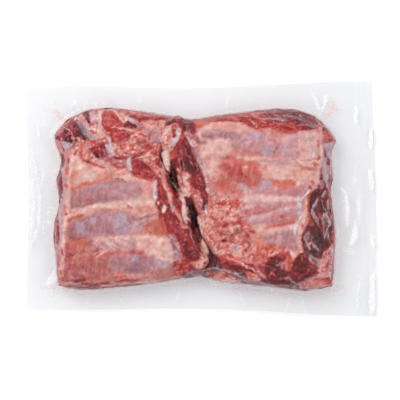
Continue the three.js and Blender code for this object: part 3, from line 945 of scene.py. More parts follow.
FLAP_PAINT = (
    *FAT.lay((74, 150, 80, 124, 90, 109, 120, 108, 170, 116, 182, 120, 166, 160, 160, 178, 130, 170, 104,
        168, 80, 161), angle=15),
    # Painted highlight: a film fold's light over the dark flap corner.
    *areas(Tone.LILAC, (88.5, 111.5, 96, 110, 98.5, 116, 97.5, 123, 92, 124.5, 90, 118), (76, 120, 81, 121,
        86, 127, 92, 134, 99, 139.5, 96, 143, 89, 139, 84, 134, 79, 127), blend=1.0, soft=1.0),
    *DARK_MUSCLE.lay((82, 112.5, 86, 110.5, 89, 113.5, 89.8, 119, 91.5, 124, 87, 122, 83.5, 116.5),
        angle=-60),
    *strokes(Tone.PINK, 1.8, (81, 113, 83, 119, 87, 125, 92, 131), soft=0.8, rise=0.4),
    *strokes(Tone.PURPLE, 2.2, (80.5, 124, 84, 129), (85.5, 130, 89, 136), (90, 136, 94.5, 139.5),
        blend=0.7),
    *strokes(Tone.SCARLET, 2.4, (96.5, 110, 97.3, 114.5), (91, 125, 95, 124), (103.5, 121, 103, 127),
        blend=0.75),
    *areas(Tone.PALE, (98, 110, 105, 110, 104, 118, 102.5, 125, 98.5, 125), (107, 108.5, 114, 109.5, 112,
        112, 106, 112), (124, 118, 132, 119, 140, 127, 132, 124, 125, 124), (104, 106, 112, 106.6, 111, 112,
        105, 112), soft=1.5),
    *strokes(Tone.PALE, 2.2, (92, 128, 97, 131, 101, 134.5, 104.5, 139.5), (99, 133, 95, 129), soft=0.8,
        rise=0.4),
    *areas(Tone.PALE, (96, 124, 103, 124, 105, 130, 104, 138, 99, 138, 95, 131), soft=1.2),
    *strokes(Tone.RED, 1.5, (90.5, 128.5, 92.5, 132, 96, 134.5), (101.5, 128, 104, 132), soft=0.7),
    *areas(Tone.ROSE, (84, 138, 92, 141, 101, 140.5, 97, 145.5, 90, 147, 84, 145), soft=1.4),
    *FAT.lay((76, 141, 84, 138, 87.5, 142, 84, 147, 92, 149, 97, 154, 99.5, 160, 90, 161, 80, 157, 75, 150),
        angle=60),
    *strokes(Tone.PALE, 1.4, (83, 147.3, 87, 148.6, 92, 148.5, 97, 145, 101, 142), soft=0.7, rise=0.4),
    *MUSCLE.lay((90, 149.5, 95, 146.5, 100, 143, 101.5, 150, 103, 157, 98, 157.5, 94, 154), angle=-40),
    *areas(Tone.WINE, (94, 151.5, 97.5, 152, 100, 156, 98, 158), soft=1.0, rise=-0.6),
    *areas(Tone.MAROON, (100, 142.5, 104.5, 143, 106, 148, 109.5, 155, 104, 156.5, 101, 151), soft=1.1,
        rise=-0.8),
    *areas(Tone.PURPLE, (102.5, 148, 106, 149.5, 109, 155, 105, 155), soft=1.2),
    *strokes(Tone.SCARLET, 2.2, (101, 140.5, 105, 138, 108.5, 140, 107.5, 143.5), soft=0.8),
    *MUSCLE.lay((104, 113, 108, 110.5, 113, 113, 119, 118, 123.5, 124, 121, 128.3, 112, 131.5, 105.5, 129,
        102.5, 121), (111, 131, 117, 129.3, 125, 131, 130.5, 137, 124, 143, 113, 143.5), angle=20),
    *areas(Tone.SCARLET, (104, 112, 108, 110.5, 113, 113, 119, 119, 121, 126, 113, 130, 105, 128, 103, 120),
        (112, 132, 118, 130, 124, 133, 121, 140, 114, 142), blend=0.62, ragged=0.8),
    *areas(Tone.ROSE, (104, 118, 109, 116, 112, 121, 110, 127, 105, 126), (104, 130, 110, 132, 111, 137,
        105, 138), blend=0.55, ragged=0.8),
    *strokes(Tone.CREAM, 2.2, (107, 109.8, 114, 112.2, 120, 117.4, 124, 124.5), soft=1.0),
    *DARK_MUSCLE.lay((123.5, 125.8, 127, 122.7, 132, 123, 137.5, 126.6, 131, 129, 126, 128.6)),
    # Painted glint along the flap's upper edge.
    *strokes(Tone.IVORY, 2.0, (121, 113.5, 126, 116.6, 130, 119, 134, 120.6), blend=1.0, soft=0.7,
        rise=0.5),
    *strokes(Tone.BROWN, 1.7, (134, 121.5, 140, 125.5, 146, 131, 151, 137, 158, 142.5, 162, 147),
        blend=0.75, rise=0.3),
    *strokes(Tone.LAVENDER, 1.2, (132, 119.6, 139, 123.5, 145.5, 129, 151, 135.5, 153, 137.5), blend=0.7,
        soft=0.6),
    *strokes(Tone.PALE, 1.9, (112, 127.6, 117, 127.4, 124, 129.8, 132, 130.6, 142, 133), (131, 136, 130.8,
        141.5), (134, 146.8, 142, 147), (118, 150, 126, 151.5), soft=0.8, rise=0.3),
    *areas(Tone.BROWN, (134, 141.5, 142, 139.5, 152, 142.5, 150, 148, 138, 147), blend=0.5, soft=1.6),
    *areas(Tone.PEACH, (116, 139, 128, 138, 132, 143, 126, 148, 116, 147), (136, 128, 146, 131, 150, 138,
        138, 137), blend=0.55, soft=1.6, ragged=0.8),
    *areas(Tone.RED, (144, 146.5, 152, 143.5, 154, 148, 147, 150.5), (120, 145, 127, 144, 126, 148, 121,
        149), (116, 136, 124, 134, 124, 140, 118, 142), (148, 126, 138, 131, 132, 130), blend=0.65,
        soft=1.4, ragged=0.8),
    *strokes(Tone.CRIMSON, 3.4, (112, 157.6, 128, 158, 136, 156.4, 145, 152.4), soft=1.2, rise=-0.6),
    *strokes(Tone.RED, 1.6, (103, 156, 109, 158, 114, 160.6), (122, 153.4, 138, 154.5), (139, 133, 148,
        137), soft=0.7),
    *strokes(Tone.ORANGE, 1.8, (119, 151.5, 127, 152.5, 135, 155), (118, 132, 128, 133), soft=0.8),
    *areas(Tone.MAUVE, (97, 157.5, 110, 158.5, 118, 161, 116, 166, 104, 163), (118, 160, 128, 160, 128, 168,
        118, 166), blend=0.6, soft=1.5),
    *strokes(Tone.CREAM, 2.8, (98, 160, 105, 163, 114, 165.5, 128, 168), (92, 161.5, 101, 165.5, 112,
        168.5), rise=0.4),
    *strokes(Tone.RED, 2.2, (80, 157.6, 90, 162.5, 97, 165.3, 104.5, 168.5), (112, 164.6, 119, 166.8, 128,
        168.5), soft=1.0, rise=-0.4),
    *strokes(Tone.WINE, 2.4, (87.7, 161.6, 89.6, 163), soft=0.9),
    *MUSCLE.lay((131, 159.5, 140, 160.5, 149, 165, 156, 172, 161, 178, 158, 181.3, 148, 180.3, 138, 177.5,
        131, 172.5), angle=-35),
    *strokes(Tone.SCARLET, 2.2, (132, 172.8, 140, 177.4, 150, 180, 159, 181.3), soft=0.9),
    *FAT.lay((138, 157, 150, 156, 161, 164, 162, 177, 152, 169, 146, 163), angle=-40),
    *areas(Tone.CRIMSON, (154, 160.5, 160, 158, 161, 168, 157, 165.5), soft=0.9),
)

TOP_BAND = (
    *areas(Tone.ROSE, (90, 100, 150, 102, 186, 110, 200, 110, 240, 103, 240, 121, 200, 121, 186, 119, 140,
        121, 124, 116, 112, 108), blend=1.0, soft=1.2),
    *strokes(Tone.MAUVE, 4.0, (92, 110, 115, 106.6, 130, 107.6, 150, 111.6, 170, 114, 185, 117), (195, 119,
        212, 115.6, 242, 110.4, 256, 108.6), soft=1.2),
    *strokes(Tone.PALE, 2.4, (130, 113, 140, 112), (121, 113, 125, 116), blend=0.7, soft=1.2),
    *strokes(Tone.CRIMSON, 3.4, (130, 116.8, 142, 118.3, 170, 118.7), (203, 118.6, 226, 118), blend=1.0,
        soft=1.0),
    *strokes(Tone.RED, 1.8, (138, 122.6, 142, 121), (125, 114, 129, 113.4), (147, 117.6, 164, 118), (134,
        117.6, 141, 119), soft=0.8),
    *areas(Tone.PEACH, (143, 122, 158, 121, 173, 121.5, 175, 124.5, 163, 131, 151, 139, 146, 133),
        blend=1.0, soft=1.4),
    *areas(Tone.MAUVE, (145, 130.5, 158, 129.5, 160, 133, 151.5, 139.6), (152, 138, 158, 136.5, 160, 143,
        154, 142), blend=0.75),
    *strokes(Tone.PINK, 1.5, (146, 128, 158, 126, 170, 124), (150, 124, 168, 122.6), blend=0.7, soft=0.8),
    *FAT.lay((169, 117, 180, 117, 179, 125, 171, 125)),
)

CLEFT_PAINT = (
    *areas(Tone.MAROON, (168, 118, 192, 120, 196, 128, 190, 145, 203, 188, 204, 205, 197, 215, 204, 240,
        218, 268, 200, 272, 186, 230, 166, 180, 160, 146), blend=0.9),
    *DARK_MUSCLE.lay((182, 121, 187, 118, 192, 121, 191, 130, 186, 131.5, 182, 128), angle=-80, blend=0.85),
    *areas(Tone.PINK, (174, 116, 184, 115, 183, 119, 175, 120), (184, 132, 190, 132, 192, 137, 187, 137),
        soft=1.2),
    *strokes(Tone.GREY, 1.2, (181, 117, 191, 117.6, 196, 121), (185, 119, 186, 125, 187, 130), (176, 116.8,
        183, 118)),
    *FAT.lay((160.5, 132, 168, 126, 176, 124, 181.3, 130, 180, 140, 176, 148, 170, 152.5, 163.5, 149, 160,
        140), angle=50, blend=0.9),
    *areas(Tone.PALE, (161, 133, 168, 127, 175, 125, 172, 131, 166, 138, 163, 141), (172, 138, 180, 136,
        176, 148, 173, 149), blend=0.7, soft=1.2),
    *areas(Tone.PALE, (168, 140, 175, 139, 175, 149, 169, 151), blend=0.6, soft=1.2, ragged=0.8),
    *areas(Tone.CRIMSON, (172.4, 129, 176.8, 130, 176, 137.4, 173, 137.6), soft=0.9, rise=-0.4),
    *strokes(Tone.RED, 1.5, (172, 126.4, 175.6, 125.6), (160.6, 133, 163, 131), (162, 140, 164.5, 145),
        (172.4, 141, 172.8, 149), soft=0.7),
    *areas(Tone.IVORY, (162, 151.3, 170, 150.8, 171, 160, 170, 172.5, 167, 171, 163, 162), blend=1.0,
        soft=0.9, rise=0.6),
    *areas(Tone.CREAM, (168.5, 152, 171, 156, 171, 168, 168.8, 172), (160, 162, 163, 163, 168, 172, 169,
        180, 163, 172), soft=1.0),
    *areas(Tone.SCARLET, (170.4, 151, 175, 149.6, 176.4, 157, 172.6, 166, 170.4, 164), blend=0.95,
        soft=1.0),
    *MUSCLE.lay((174, 150, 180, 136, 181.5, 131, 185.5, 136, 184, 148, 186, 158, 184, 168, 178, 166, 176.6,
        157), angle=-75),
    *DARK_MUSCLE.lay((183, 139, 187.5, 140, 192, 149, 198, 160, 201, 172, 205, 186, 208, 198, 207, 208, 203,
        211, 199, 204, 201, 190, 193, 178, 184, 173, 180, 164, 184, 158), angle=-65),
    *areas(Tone.WINE, (186, 158, 192, 160, 197, 168, 198, 175, 190, 175, 183, 171, 184, 163), (189, 148,
        194, 152, 197, 162, 192, 160), blend=0.7, ragged=0.8),
    *areas(Tone.RED, (194, 170, 200, 173, 203, 180, 198, 182, 193, 177), (201, 186, 207, 192, 207, 200, 202,
        196), blend=0.5, ragged=0.8),
    *strokes(Tone.ROSE, 1.1, (183.4, 145, 186, 151, 187, 157), (184, 162, 183.4, 169), (188.5, 156, 191,
        163, 193, 167), (192, 153, 196, 160, 198, 167), (190.5, 147, 195, 156, 199, 165), (186, 142, 189,
        148), soft=0.6, rise=0.3),
    *strokes(Tone.PINK, 0.9, (175.4, 153, 179, 158, 180.6, 165, 182, 172), (200, 184, 199.4, 192), (195,
        163, 198, 172), (199, 178, 203, 186), soft=0.6, rise=0.3),
    *strokes(Tone.LILAC, 4.4, (184.6, 134, 190, 141, 195.6, 150, 199.6, 160, 203, 170, 208, 181, 212, 191),
        blend=1.0, soft=1.1, rise=0.5),
    *strokes(Tone.PALE, 1.3, (187, 138.5, 192, 145, 197, 154, 200.6, 164, 204, 172), (204, 172, 206.5, 180,
        209, 190), (207, 188, 209, 194), soft=0.7, rise=0.3),
    # Painted shade on the right of the lavender fold.
    *strokes(Tone.PURPLE, 2.2, (193, 148, 197.6, 155, 201.4, 164), (187, 134, 190, 137), blend=0.7,
        soft=1.0),
    # Painted shade: the dark of the hole between the slabs.
    *areas(Tone.WINE, (171, 160, 177.5, 158.5, 178.6, 170, 179.4, 184, 179, 196, 175.6, 197, 171.6, 186,
        169.6, 178), blend=1.0, soft=1.0),
    *areas(Tone.BLACK, (171, 176, 176, 172, 178.6, 184, 178.4, 195, 174, 193), (189, 203, 193, 206, 196,
        218, 199, 232, 201, 238, 197, 235, 192, 224, 190, 212), soft=1.4),
    *areas(Tone.MAROON, (170.6, 160, 176.6, 157.6, 178.4, 166, 175, 170, 171.4, 175)),
    *areas(Tone.BROWN, (170.6, 166, 174.6, 167, 176, 176, 172, 177.6), blend=0.55, soft=1.4),
    *strokes(Tone.WINE, 1.8, (160, 144, 161.4, 150, 161, 157, 163.4, 165, 168, 174, 170.4, 181), soft=0.8,
        rise=-0.5),
    *FAT.lay((178, 169, 186, 172, 192, 179, 194, 189, 200.6, 192, 201, 208, 192.4, 200, 184, 192, 179, 196,
        178, 182), angle=120),
    *strokes(Tone.PALE, 3.4, (184, 176, 188, 184, 189, 190), (181, 189, 188, 191), (187, 192, 192, 195),
        blend=0.8, soft=1.2, rise=0.4),
    *areas(Tone.CRIMSON, (188.6, 178, 194, 178, 199, 184, 200, 191, 194, 189), (191.6, 194, 195, 192.6,
        194.6, 202, 191, 203), soft=1.2),
    *areas(Tone.PINK, (194, 193.6, 199, 194, 200, 204, 195, 203), (195.6, 204, 199.6, 204, 200, 212, 197,
        214), soft=1.0),
    *MUSCLE.lay((170.6, 189, 176, 193, 180, 197, 182.3, 208, 180.6, 211.5, 176, 209, 172.4, 200),
        angle=-70),
    *areas(Tone.CREAM, (179.4, 196, 185.6, 190.6, 189.4, 197, 185, 200.6, 186, 208, 189, 218, 191.5, 223.5,
        186, 223, 182, 212, 182.4, 206), (196.8, 216.6, 203, 215.6, 203.4, 228, 206.4, 238, 203, 238, 198.6,
        226), (200.8, 236.6, 204.6, 243, 208.4, 253, 205.6, 254.5, 201, 249.5), blend=1.0, soft=0.9,
        rise=0.5),
    *areas(Tone.IVORY, (181.6, 199, 184, 199, 187.6, 212, 189, 220, 185, 216), blend=0.6, soft=1.2),
    # Painted shade: the dark of the second hollow between strip and slab.
    *areas(Tone.WINE, (186, 197, 191, 198.5, 195, 207, 197, 217, 199.6, 229, 203, 240, 199, 238, 193, 227,
        189, 214, 185.4, 203), blend=0.9, soft=1.0),
    *areas(Tone.BLACK, (189, 203, 193, 206, 196, 218, 198, 228, 196, 228, 192, 222, 190, 212), soft=1.4),
    *strokes(Tone.MAROON, 1.6, (191, 196.6, 194.4, 203, 196.6, 212), (186, 198, 188, 204), blend=0.7,
        soft=1.0),
    *DARK_MUSCLE.lay((188, 221, 193, 227, 199.6, 233, 201.4, 246, 199.6, 252.6, 196, 247, 192.4, 236),
        angle=-65),
    *strokes(Tone.PALE, 1.5, (188.6, 227, 191.4, 235, 194.4, 243.6, 197.6, 250.6, 202.4, 254.4), soft=0.6,
        rise=0.4),
    *strokes(Tone.MAUVE, 2.2, (190, 234, 192.6, 241), (192.6, 238, 194, 246), (157.4, 184, 157.6, 192),
        blend=0.6),
    *MUSCLE.lay((156.4, 181, 160.6, 180, 164, 186.4, 167.6, 196, 171.4, 206.6, 176.6, 216, 182, 227.6, 190,
        237, 197, 249, 201.4, 257, 196.6, 261.5, 186, 259.6, 181.6, 252, 175.6, 240, 167.6, 234.4, 162.4,
        226.6, 159.4, 216.6, 157.4, 208, 155.6, 198), angle=-62),
    Grain(Tone.MAROON, (158, 184, 166, 196, 178, 222, 192, 242, 200, 257, 188, 259, 178, 240, 164, 222, 158,
        200), 2.0, 1.5, -62, 0.42, 0.6),
    *areas(Tone.CRIMSON, (176, 236, 186, 236, 197, 250, 201, 257, 196, 261, 186, 259, 181, 250), blend=0.7,
        soft=1.4),
    *areas(Tone.WINE, (186, 250, 197, 250, 201, 257, 196, 261, 188, 259), (178, 240, 186, 240, 188, 248,
        182, 249), blend=0.5, ragged=0.8),
    *strokes(Tone.RUST, 2.6, (159.6, 217, 163, 226, 167, 233, 172, 236.6), (200, 252, 204, 255, 208, 254.6),
        soft=1.0),
    *areas(Tone.IVORY, (162, 209.5, 165, 204.6, 167, 206, 166, 210, 163.8, 213.4), (157, 203, 159.4, 201.6,
        159, 205), blend=1.0, soft=0.8, rise=0.4),
    *strokes(Tone.CREAM, 3.0, (163.6, 184.6, 167.6, 191, 170.4, 198, 172, 205.6), (171, 203, 174, 209.6,
        178.6, 215, 183, 222), (183, 225.6, 187, 227.6), soft=1.0, rise=0.3),
    *strokes(Tone.ORANGE, 1.6, (165.6, 184.6, 170, 191, 171.6, 196), (176, 210, 181, 218), (181.6, 222.6,
        187, 226)),
    *strokes(Tone.ROSE, 1.0, (161.6, 215.6, 165.6, 212), (175, 225, 179, 222.6), (176, 231, 180, 229), (184,
        240, 188, 238), (180, 246, 184, 244), soft=0.6, rise=0.2),
    *areas(Tone.MAUVE, (168.6, 234.6, 173.6, 235, 179.6, 246.6, 181.4, 258.4, 176, 258.6, 172, 249),
        blend=1.0, soft=1.2),
    *areas(Tone.LAVENDER, (173, 249, 177.4, 249.6, 179, 257, 175, 257), soft=1.4),
    *strokes(Tone.PALE, 1.3, (170.4, 234, 174, 240.6, 177.6, 246.6, 180.6, 254.4), soft=0.7, rise=0.4),
    *MUSCLE.lay((173, 261.5, 182, 259.4, 190, 261, 198, 267, 203, 272, 192.4, 274, 184, 276.6, 175.4, 275),
        angle=60),
    Grain(Tone.PEACH, (173, 262, 182, 261, 186, 266, 188, 272, 182, 275, 176, 274), 2.2, 1.5, 60, 0.36,
        0.8),
    *areas(Tone.CRIMSON, (184.6, 259.6, 190, 261, 194, 267.6, 201.6, 269.6, 200, 272.6, 192, 270.6),
        soft=1.0, rise=-0.4),
    *FAT.lay((191.6, 262.4, 199, 258.6, 201, 254.4, 207.4, 254.8, 208.4, 261, 204, 267, 198, 268.4),
        angle=60),
    # Painted shade along the gap between the pieces.
    *strokes(Tone.BLACK, 1.4, (198.6, 226, 200.6, 233), (206.4, 243, 208.6, 250, 210, 256), blend=1.0,
        soft=0.8),
    *areas(Tone.CREAM, (201.4, 236, 204.4, 240, 207.6, 249, 208.4, 254, 204.6, 254.6, 201, 249), soft=0.8,
        rise=0.3),
    # Painted shade: the dark gap at the cleft's foot.
    *areas(Tone.WINE, (208.6, 254.6, 213, 256, 219.4, 267.6, 214, 268.6, 206, 269, 209, 262), blend=1.0,
        soft=1.1),
    *areas(Tone.SLATE, (210, 262, 216, 262.6, 218.4, 267, 208, 267.6), soft=1.4),
    *areas(Tone.GREY, (174, 282, 182, 276.6, 194, 273.6, 203, 273.6, 214, 281, 216, 284, 200, 281.6, 188,
        282.6), blend=0.9, soft=1.1),
    *areas(Tone.SLATE, (180, 280, 190, 276, 202, 276, 206, 279, 192, 281), (188, 266, 197, 268, 201, 272,
        192, 273), blend=0.6, soft=1.4),
    Grain(Tone.MAROON, (176, 281, 194, 273, 203, 273, 214, 282, 190, 283), 1.8, 3.0, -25, 0.3, 0.7),
    *strokes(Tone.SLATE, 1.8, (184, 276.6, 199, 275), (202, 274, 209, 279), (186, 279, 194, 278), soft=1.0),
    *strokes(Tone.WINE, 1.8, (204, 272.5, 212, 273), (182, 275, 187, 272.8), soft=0.9),
)

RIGHT_GROUND = (
    *areas(Tone.PEACH, (204, 121, 240, 122, 318, 130, 319, 168, 306, 200, 300, 250, 262, 276, 216, 255, 206,
        216, 200, 150), blend=1.0, soft=2.5),
    *BONE.lay((200, 143, 212, 141, 226, 140, 236, 146, 222, 157, 218, 172, 207, 178, 202, 162), (201, 123,
        216, 123, 246, 124, 250, 130, 218, 131, 204, 131), blend=0.8),
    *areas(Tone.PINK, (203, 157, 214, 153, 222, 156, 214, 163, 205, 168), blend=0.6, soft=2.5),
    *areas(Tone.RUST, (192, 121, 201, 120, 206, 123, 202, 127, 194, 128), soft=1.4, ragged=0.8),
    *strokes(Tone.ORANGE, 2.6, (204, 124, 208, 125), (217, 124, 218, 130), (250, 131, 262, 132), (268, 133,
        280, 134), (224, 125, 232, 124), blend=0.6, soft=1.6),
    *areas(Tone.PEACH, (186, 133, 192, 130, 199, 130, 199, 138, 190, 139, 185, 138), blend=1.0, soft=1.2),
    *strokes(Tone.ROSE, 2.6, (192.6, 132, 193.4, 137), (195, 137, 197, 137.6), blend=0.75),
    *areas(Tone.PALE, (197, 133, 200.4, 132, 201, 140, 198.4, 140), (202, 130.4, 205, 130.6, 205.4, 133.6,
        202, 133.6), blend=1.0, soft=1.0),
    *areas(Tone.PURPLE, (193, 137.6, 198, 137, 202, 141.6, 207.4, 141, 206, 144.6, 200, 144.6, 195, 141.6),
        soft=1.3),
    *THIN_MEMBRANE.lay((230, 132, 262, 132, 290, 134, 317, 134, 316, 158, 300, 157.5, 262, 157, 246, 150,
        232, 148)),
    *areas(Tone.PEACH, (212, 124, 236, 125, 236, 130, 212, 130), blend=0.8),
    *strokes(Tone.MAUVE, 8.0, (203, 134.6, 225, 134.2, 242, 137), soft=2.2),
    *strokes(Tone.PURPLE, 4.0, (204, 136.3, 214, 135.6, 224, 134.6, 232, 134.6), blend=0.75, soft=1.8),
    *strokes(Tone.SLATE, 2.0, (206, 136.6, 212, 136.3), (222, 136.6, 232, 137.2), blend=0.4, soft=1.3),
    *areas(Tone.PALE, (296, 133, 316, 132, 315, 158, 300, 157), blend=0.6, soft=3.0),
    *areas(Tone.LAVENDER, (252, 131, 258, 134, 262, 142, 257, 142, 252, 137), (258, 148, 272, 147, 274, 155,
        262, 156), (281, 146, 290, 146, 290, 151, 282, 151), blend=0.6, soft=2.2),
    *areas(Tone.ORANGE, (249, 141, 258, 141.6, 258, 146, 250, 146), (292, 139, 297, 139.6, 297, 144, 292,
        144), (268, 136, 280, 134, 282, 140, 270, 142), blend=0.4, soft=2.2),
    *strokes(Tone.ROSE, 2.6, (273, 139, 275, 144, 276, 148), (276, 148, 279, 145, 281, 142.5), (274.4, 150,
        274, 154)),
    *strokes(Tone.MAROON, 1.3, (273.4, 151, 274.4, 153), (275, 147.4, 276, 149), blend=0.6, soft=0.8),
    *strokes(Tone.ROSE, 6.0, (221, 158, 230, 155.6, 238, 152.6, 246, 151.6, 262, 156), blend=0.75,
        soft=2.2),
    *strokes(Tone.CRIMSON, 2.0, (225, 158.6, 229, 157.6), blend=0.6, soft=1.3),
    *BONE.lay((238, 157, 262, 158, 300, 158, 319, 160, 318, 178, 306, 200, 296, 190, 280, 180, 262, 178,
        256, 166), blend=0.85),
    *strokes(Tone.MAUVE, 1.5, (238, 163, 252, 161.6, 290, 161), (262, 165, 280, 164, 300, 166), blend=0.7,
        soft=1.2),
    *areas(Tone.LILAC, (264, 160, 292, 160, 292, 165, 266, 166), blend=0.55, soft=2.0),
    *strokes(Tone.ROSE, 2.0, (292, 157, 297, 163, 306, 167.6, 318, 166.6), (300, 160, 310, 160, 317, 158.4),
        (300, 168, 310, 169.5, 319, 169), soft=1.0),
    *strokes(Tone.RUST, 1.6, (307, 169, 316, 169.4), (312, 163, 316, 166), soft=0.8),
    *areas(Tone.SCARLET, (222, 160, 232, 158, 244, 163, 254, 164.6, 260, 172, 262, 184, 257, 188, 248,
        186.6, 240, 183, 238, 191, 233, 194, 226, 190.6, 217, 189.6, 212.6, 184, 215, 179, 222, 176, 220,
        168), blend=0.62, soft=3.4, ragged=0.8),
    Grain(Tone.PEACH, (212, 170, 226, 156, 260, 162, 264, 188, 232, 196, 212, 188), 5.0, 1.8, 10, 0.4, 0.5),
    Grain(Tone.RUST, (212, 176, 226, 160, 260, 164, 262, 188, 232, 194, 212, 188), 4.0, 1.5, 0, 0.45, 0.5),
    *areas(Tone.RED, (224, 165, 236, 165, 247, 168, 250, 176, 244, 181, 234, 178, 226, 171), soft=4.0,
        blend=0.62),
    *areas(Tone.CRIMSON, (230, 169, 242, 168, 249, 172, 240, 181, 231, 177), (214, 182, 222, 181, 224, 186,
        216, 186), blend=0.32, soft=3.0),
    *areas(Tone.BROWN, (216, 176, 224, 174, 232, 180, 236, 185, 226, 184, 216, 180), (253, 172, 260, 176,
        260, 184, 252, 182), (236, 178, 246, 180, 250, 186, 240, 184), blend=0.55, soft=2.4),
    *areas(Tone.ORANGE, (242.6, 167, 246.6, 166, 248.6, 171, 247, 176, 243, 175), soft=1.2, rise=0.8),
    *strokes(Tone.PALE, 1.8, (243, 167, 246, 166.4, 247.4, 169), soft=0.9),
    *strokes(Tone.ROSE, 2.4, (262, 170, 265, 166, 266, 169), blend=0.7, soft=1.0),
    *areas(Tone.LAVENDER, (237, 184, 243, 183, 249, 188.6, 252, 194, 246, 193, 240, 188), soft=1.4),
    *areas(Tone.LILAC, (254, 189, 260, 182, 266, 178.6, 272, 186, 276, 194, 264, 198, 250, 196.6),
        soft=2.2),
    *areas(Tone.LAVENDER, (261, 183, 267, 180, 270, 186, 262, 189), blend=0.6),
    *areas(Tone.RUST, (270, 181, 280, 180.6, 295, 181, 293, 188, 284, 190, 276, 187), blend=0.75,
        ragged=0.8),
    *areas(Tone.ORANGE, (292, 170, 302, 170, 303, 177, 294, 177), (264, 172, 270, 172, 270, 178, 265, 178),
        blend=0.4),
    *THIN_MEMBRANE.lay((213, 192, 236, 196, 250, 195, 296, 186, 308, 180, 307, 196, 296, 222, 274, 224, 250,
        226, 232, 218, 214, 208)),
    *strokes(Tone.PALE, 7.0, (240, 200, 252, 199, 272, 198.6, 298, 200), blend=0.9, soft=2.6, rise=0.8),
    # Painted highlight: film glare on the slab's right rim.
    *strokes(Tone.VEIL_AND_GLARE, 4.0, (290, 198, 300, 198.6), blend=0.5, soft=2.0),
    *strokes(Tone.PALE, 3.4, (226, 214, 240, 208, 256, 205.5), (248, 222, 262, 216, 280, 210, 297, 207),
        blend=0.65, soft=1.6, rise=0.3),
    *strokes(Tone.LAVENDER, 3.6, (230, 212, 244, 207), (250, 221.6, 262, 218.6), (284, 212, 296, 213),
        blend=0.6),
    *strokes(Tone.ROSE, 3.0, (243, 217, 254, 213.6, 266, 210, 280, 206.6), (232, 216, 244, 217), (276, 215,
        296, 214), soft=1.3),
    *strokes(Tone.RED, 1.5, (252, 214.4, 262, 211.6), (268, 210, 274, 208.8), blend=0.6, soft=0.9),
    *strokes(Tone.CRIMSON, 3.2, (281.6, 215, 283, 217.6), soft=1.2),
    *strokes(Tone.PINK, 1.6, (282.4, 216.6, 283, 216.8), blend=0.8, soft=0.6),
    *areas(Tone.ROSE, (266, 222, 284, 218, 300, 217, 299, 225, 280, 228, 266, 229), blend=0.6, soft=2.0),
    *strokes(Tone.SCARLET, 3.2, (263, 229, 272, 227, 282, 224.6, 300, 221), soft=1.3, rise=-0.2),
    *BONE.lay((240, 226, 262, 227, 280, 228, 298, 225, 297, 231, 280, 234, 262, 240, 248, 238), blend=0.85),
    *MEMBRANE.lay((262, 238, 275, 234, 296, 231, 299, 248, 286, 252, 270, 249), blend=0.9),
    *areas(Tone.LILAC, (266, 240, 280, 236, 284, 244, 272, 248), blend=0.5, soft=2.4),
    *strokes(Tone.ORANGE, 5.0, (254, 236, 264, 234.6), (250, 240, 262, 241), blend=0.6, soft=1.8),
    Grain(Tone.PALE, (206, 132, 316, 132, 304, 200, 296, 250, 256, 236, 214, 196), 1.6, 6.0, 76, 0.36, 0.3),
    Grain(Tone.ROSE, (206, 132, 316, 132, 304, 200, 296, 250, 256, 236, 214, 196), 1.6, 5.0, 70, 0.3, 0.18),
)

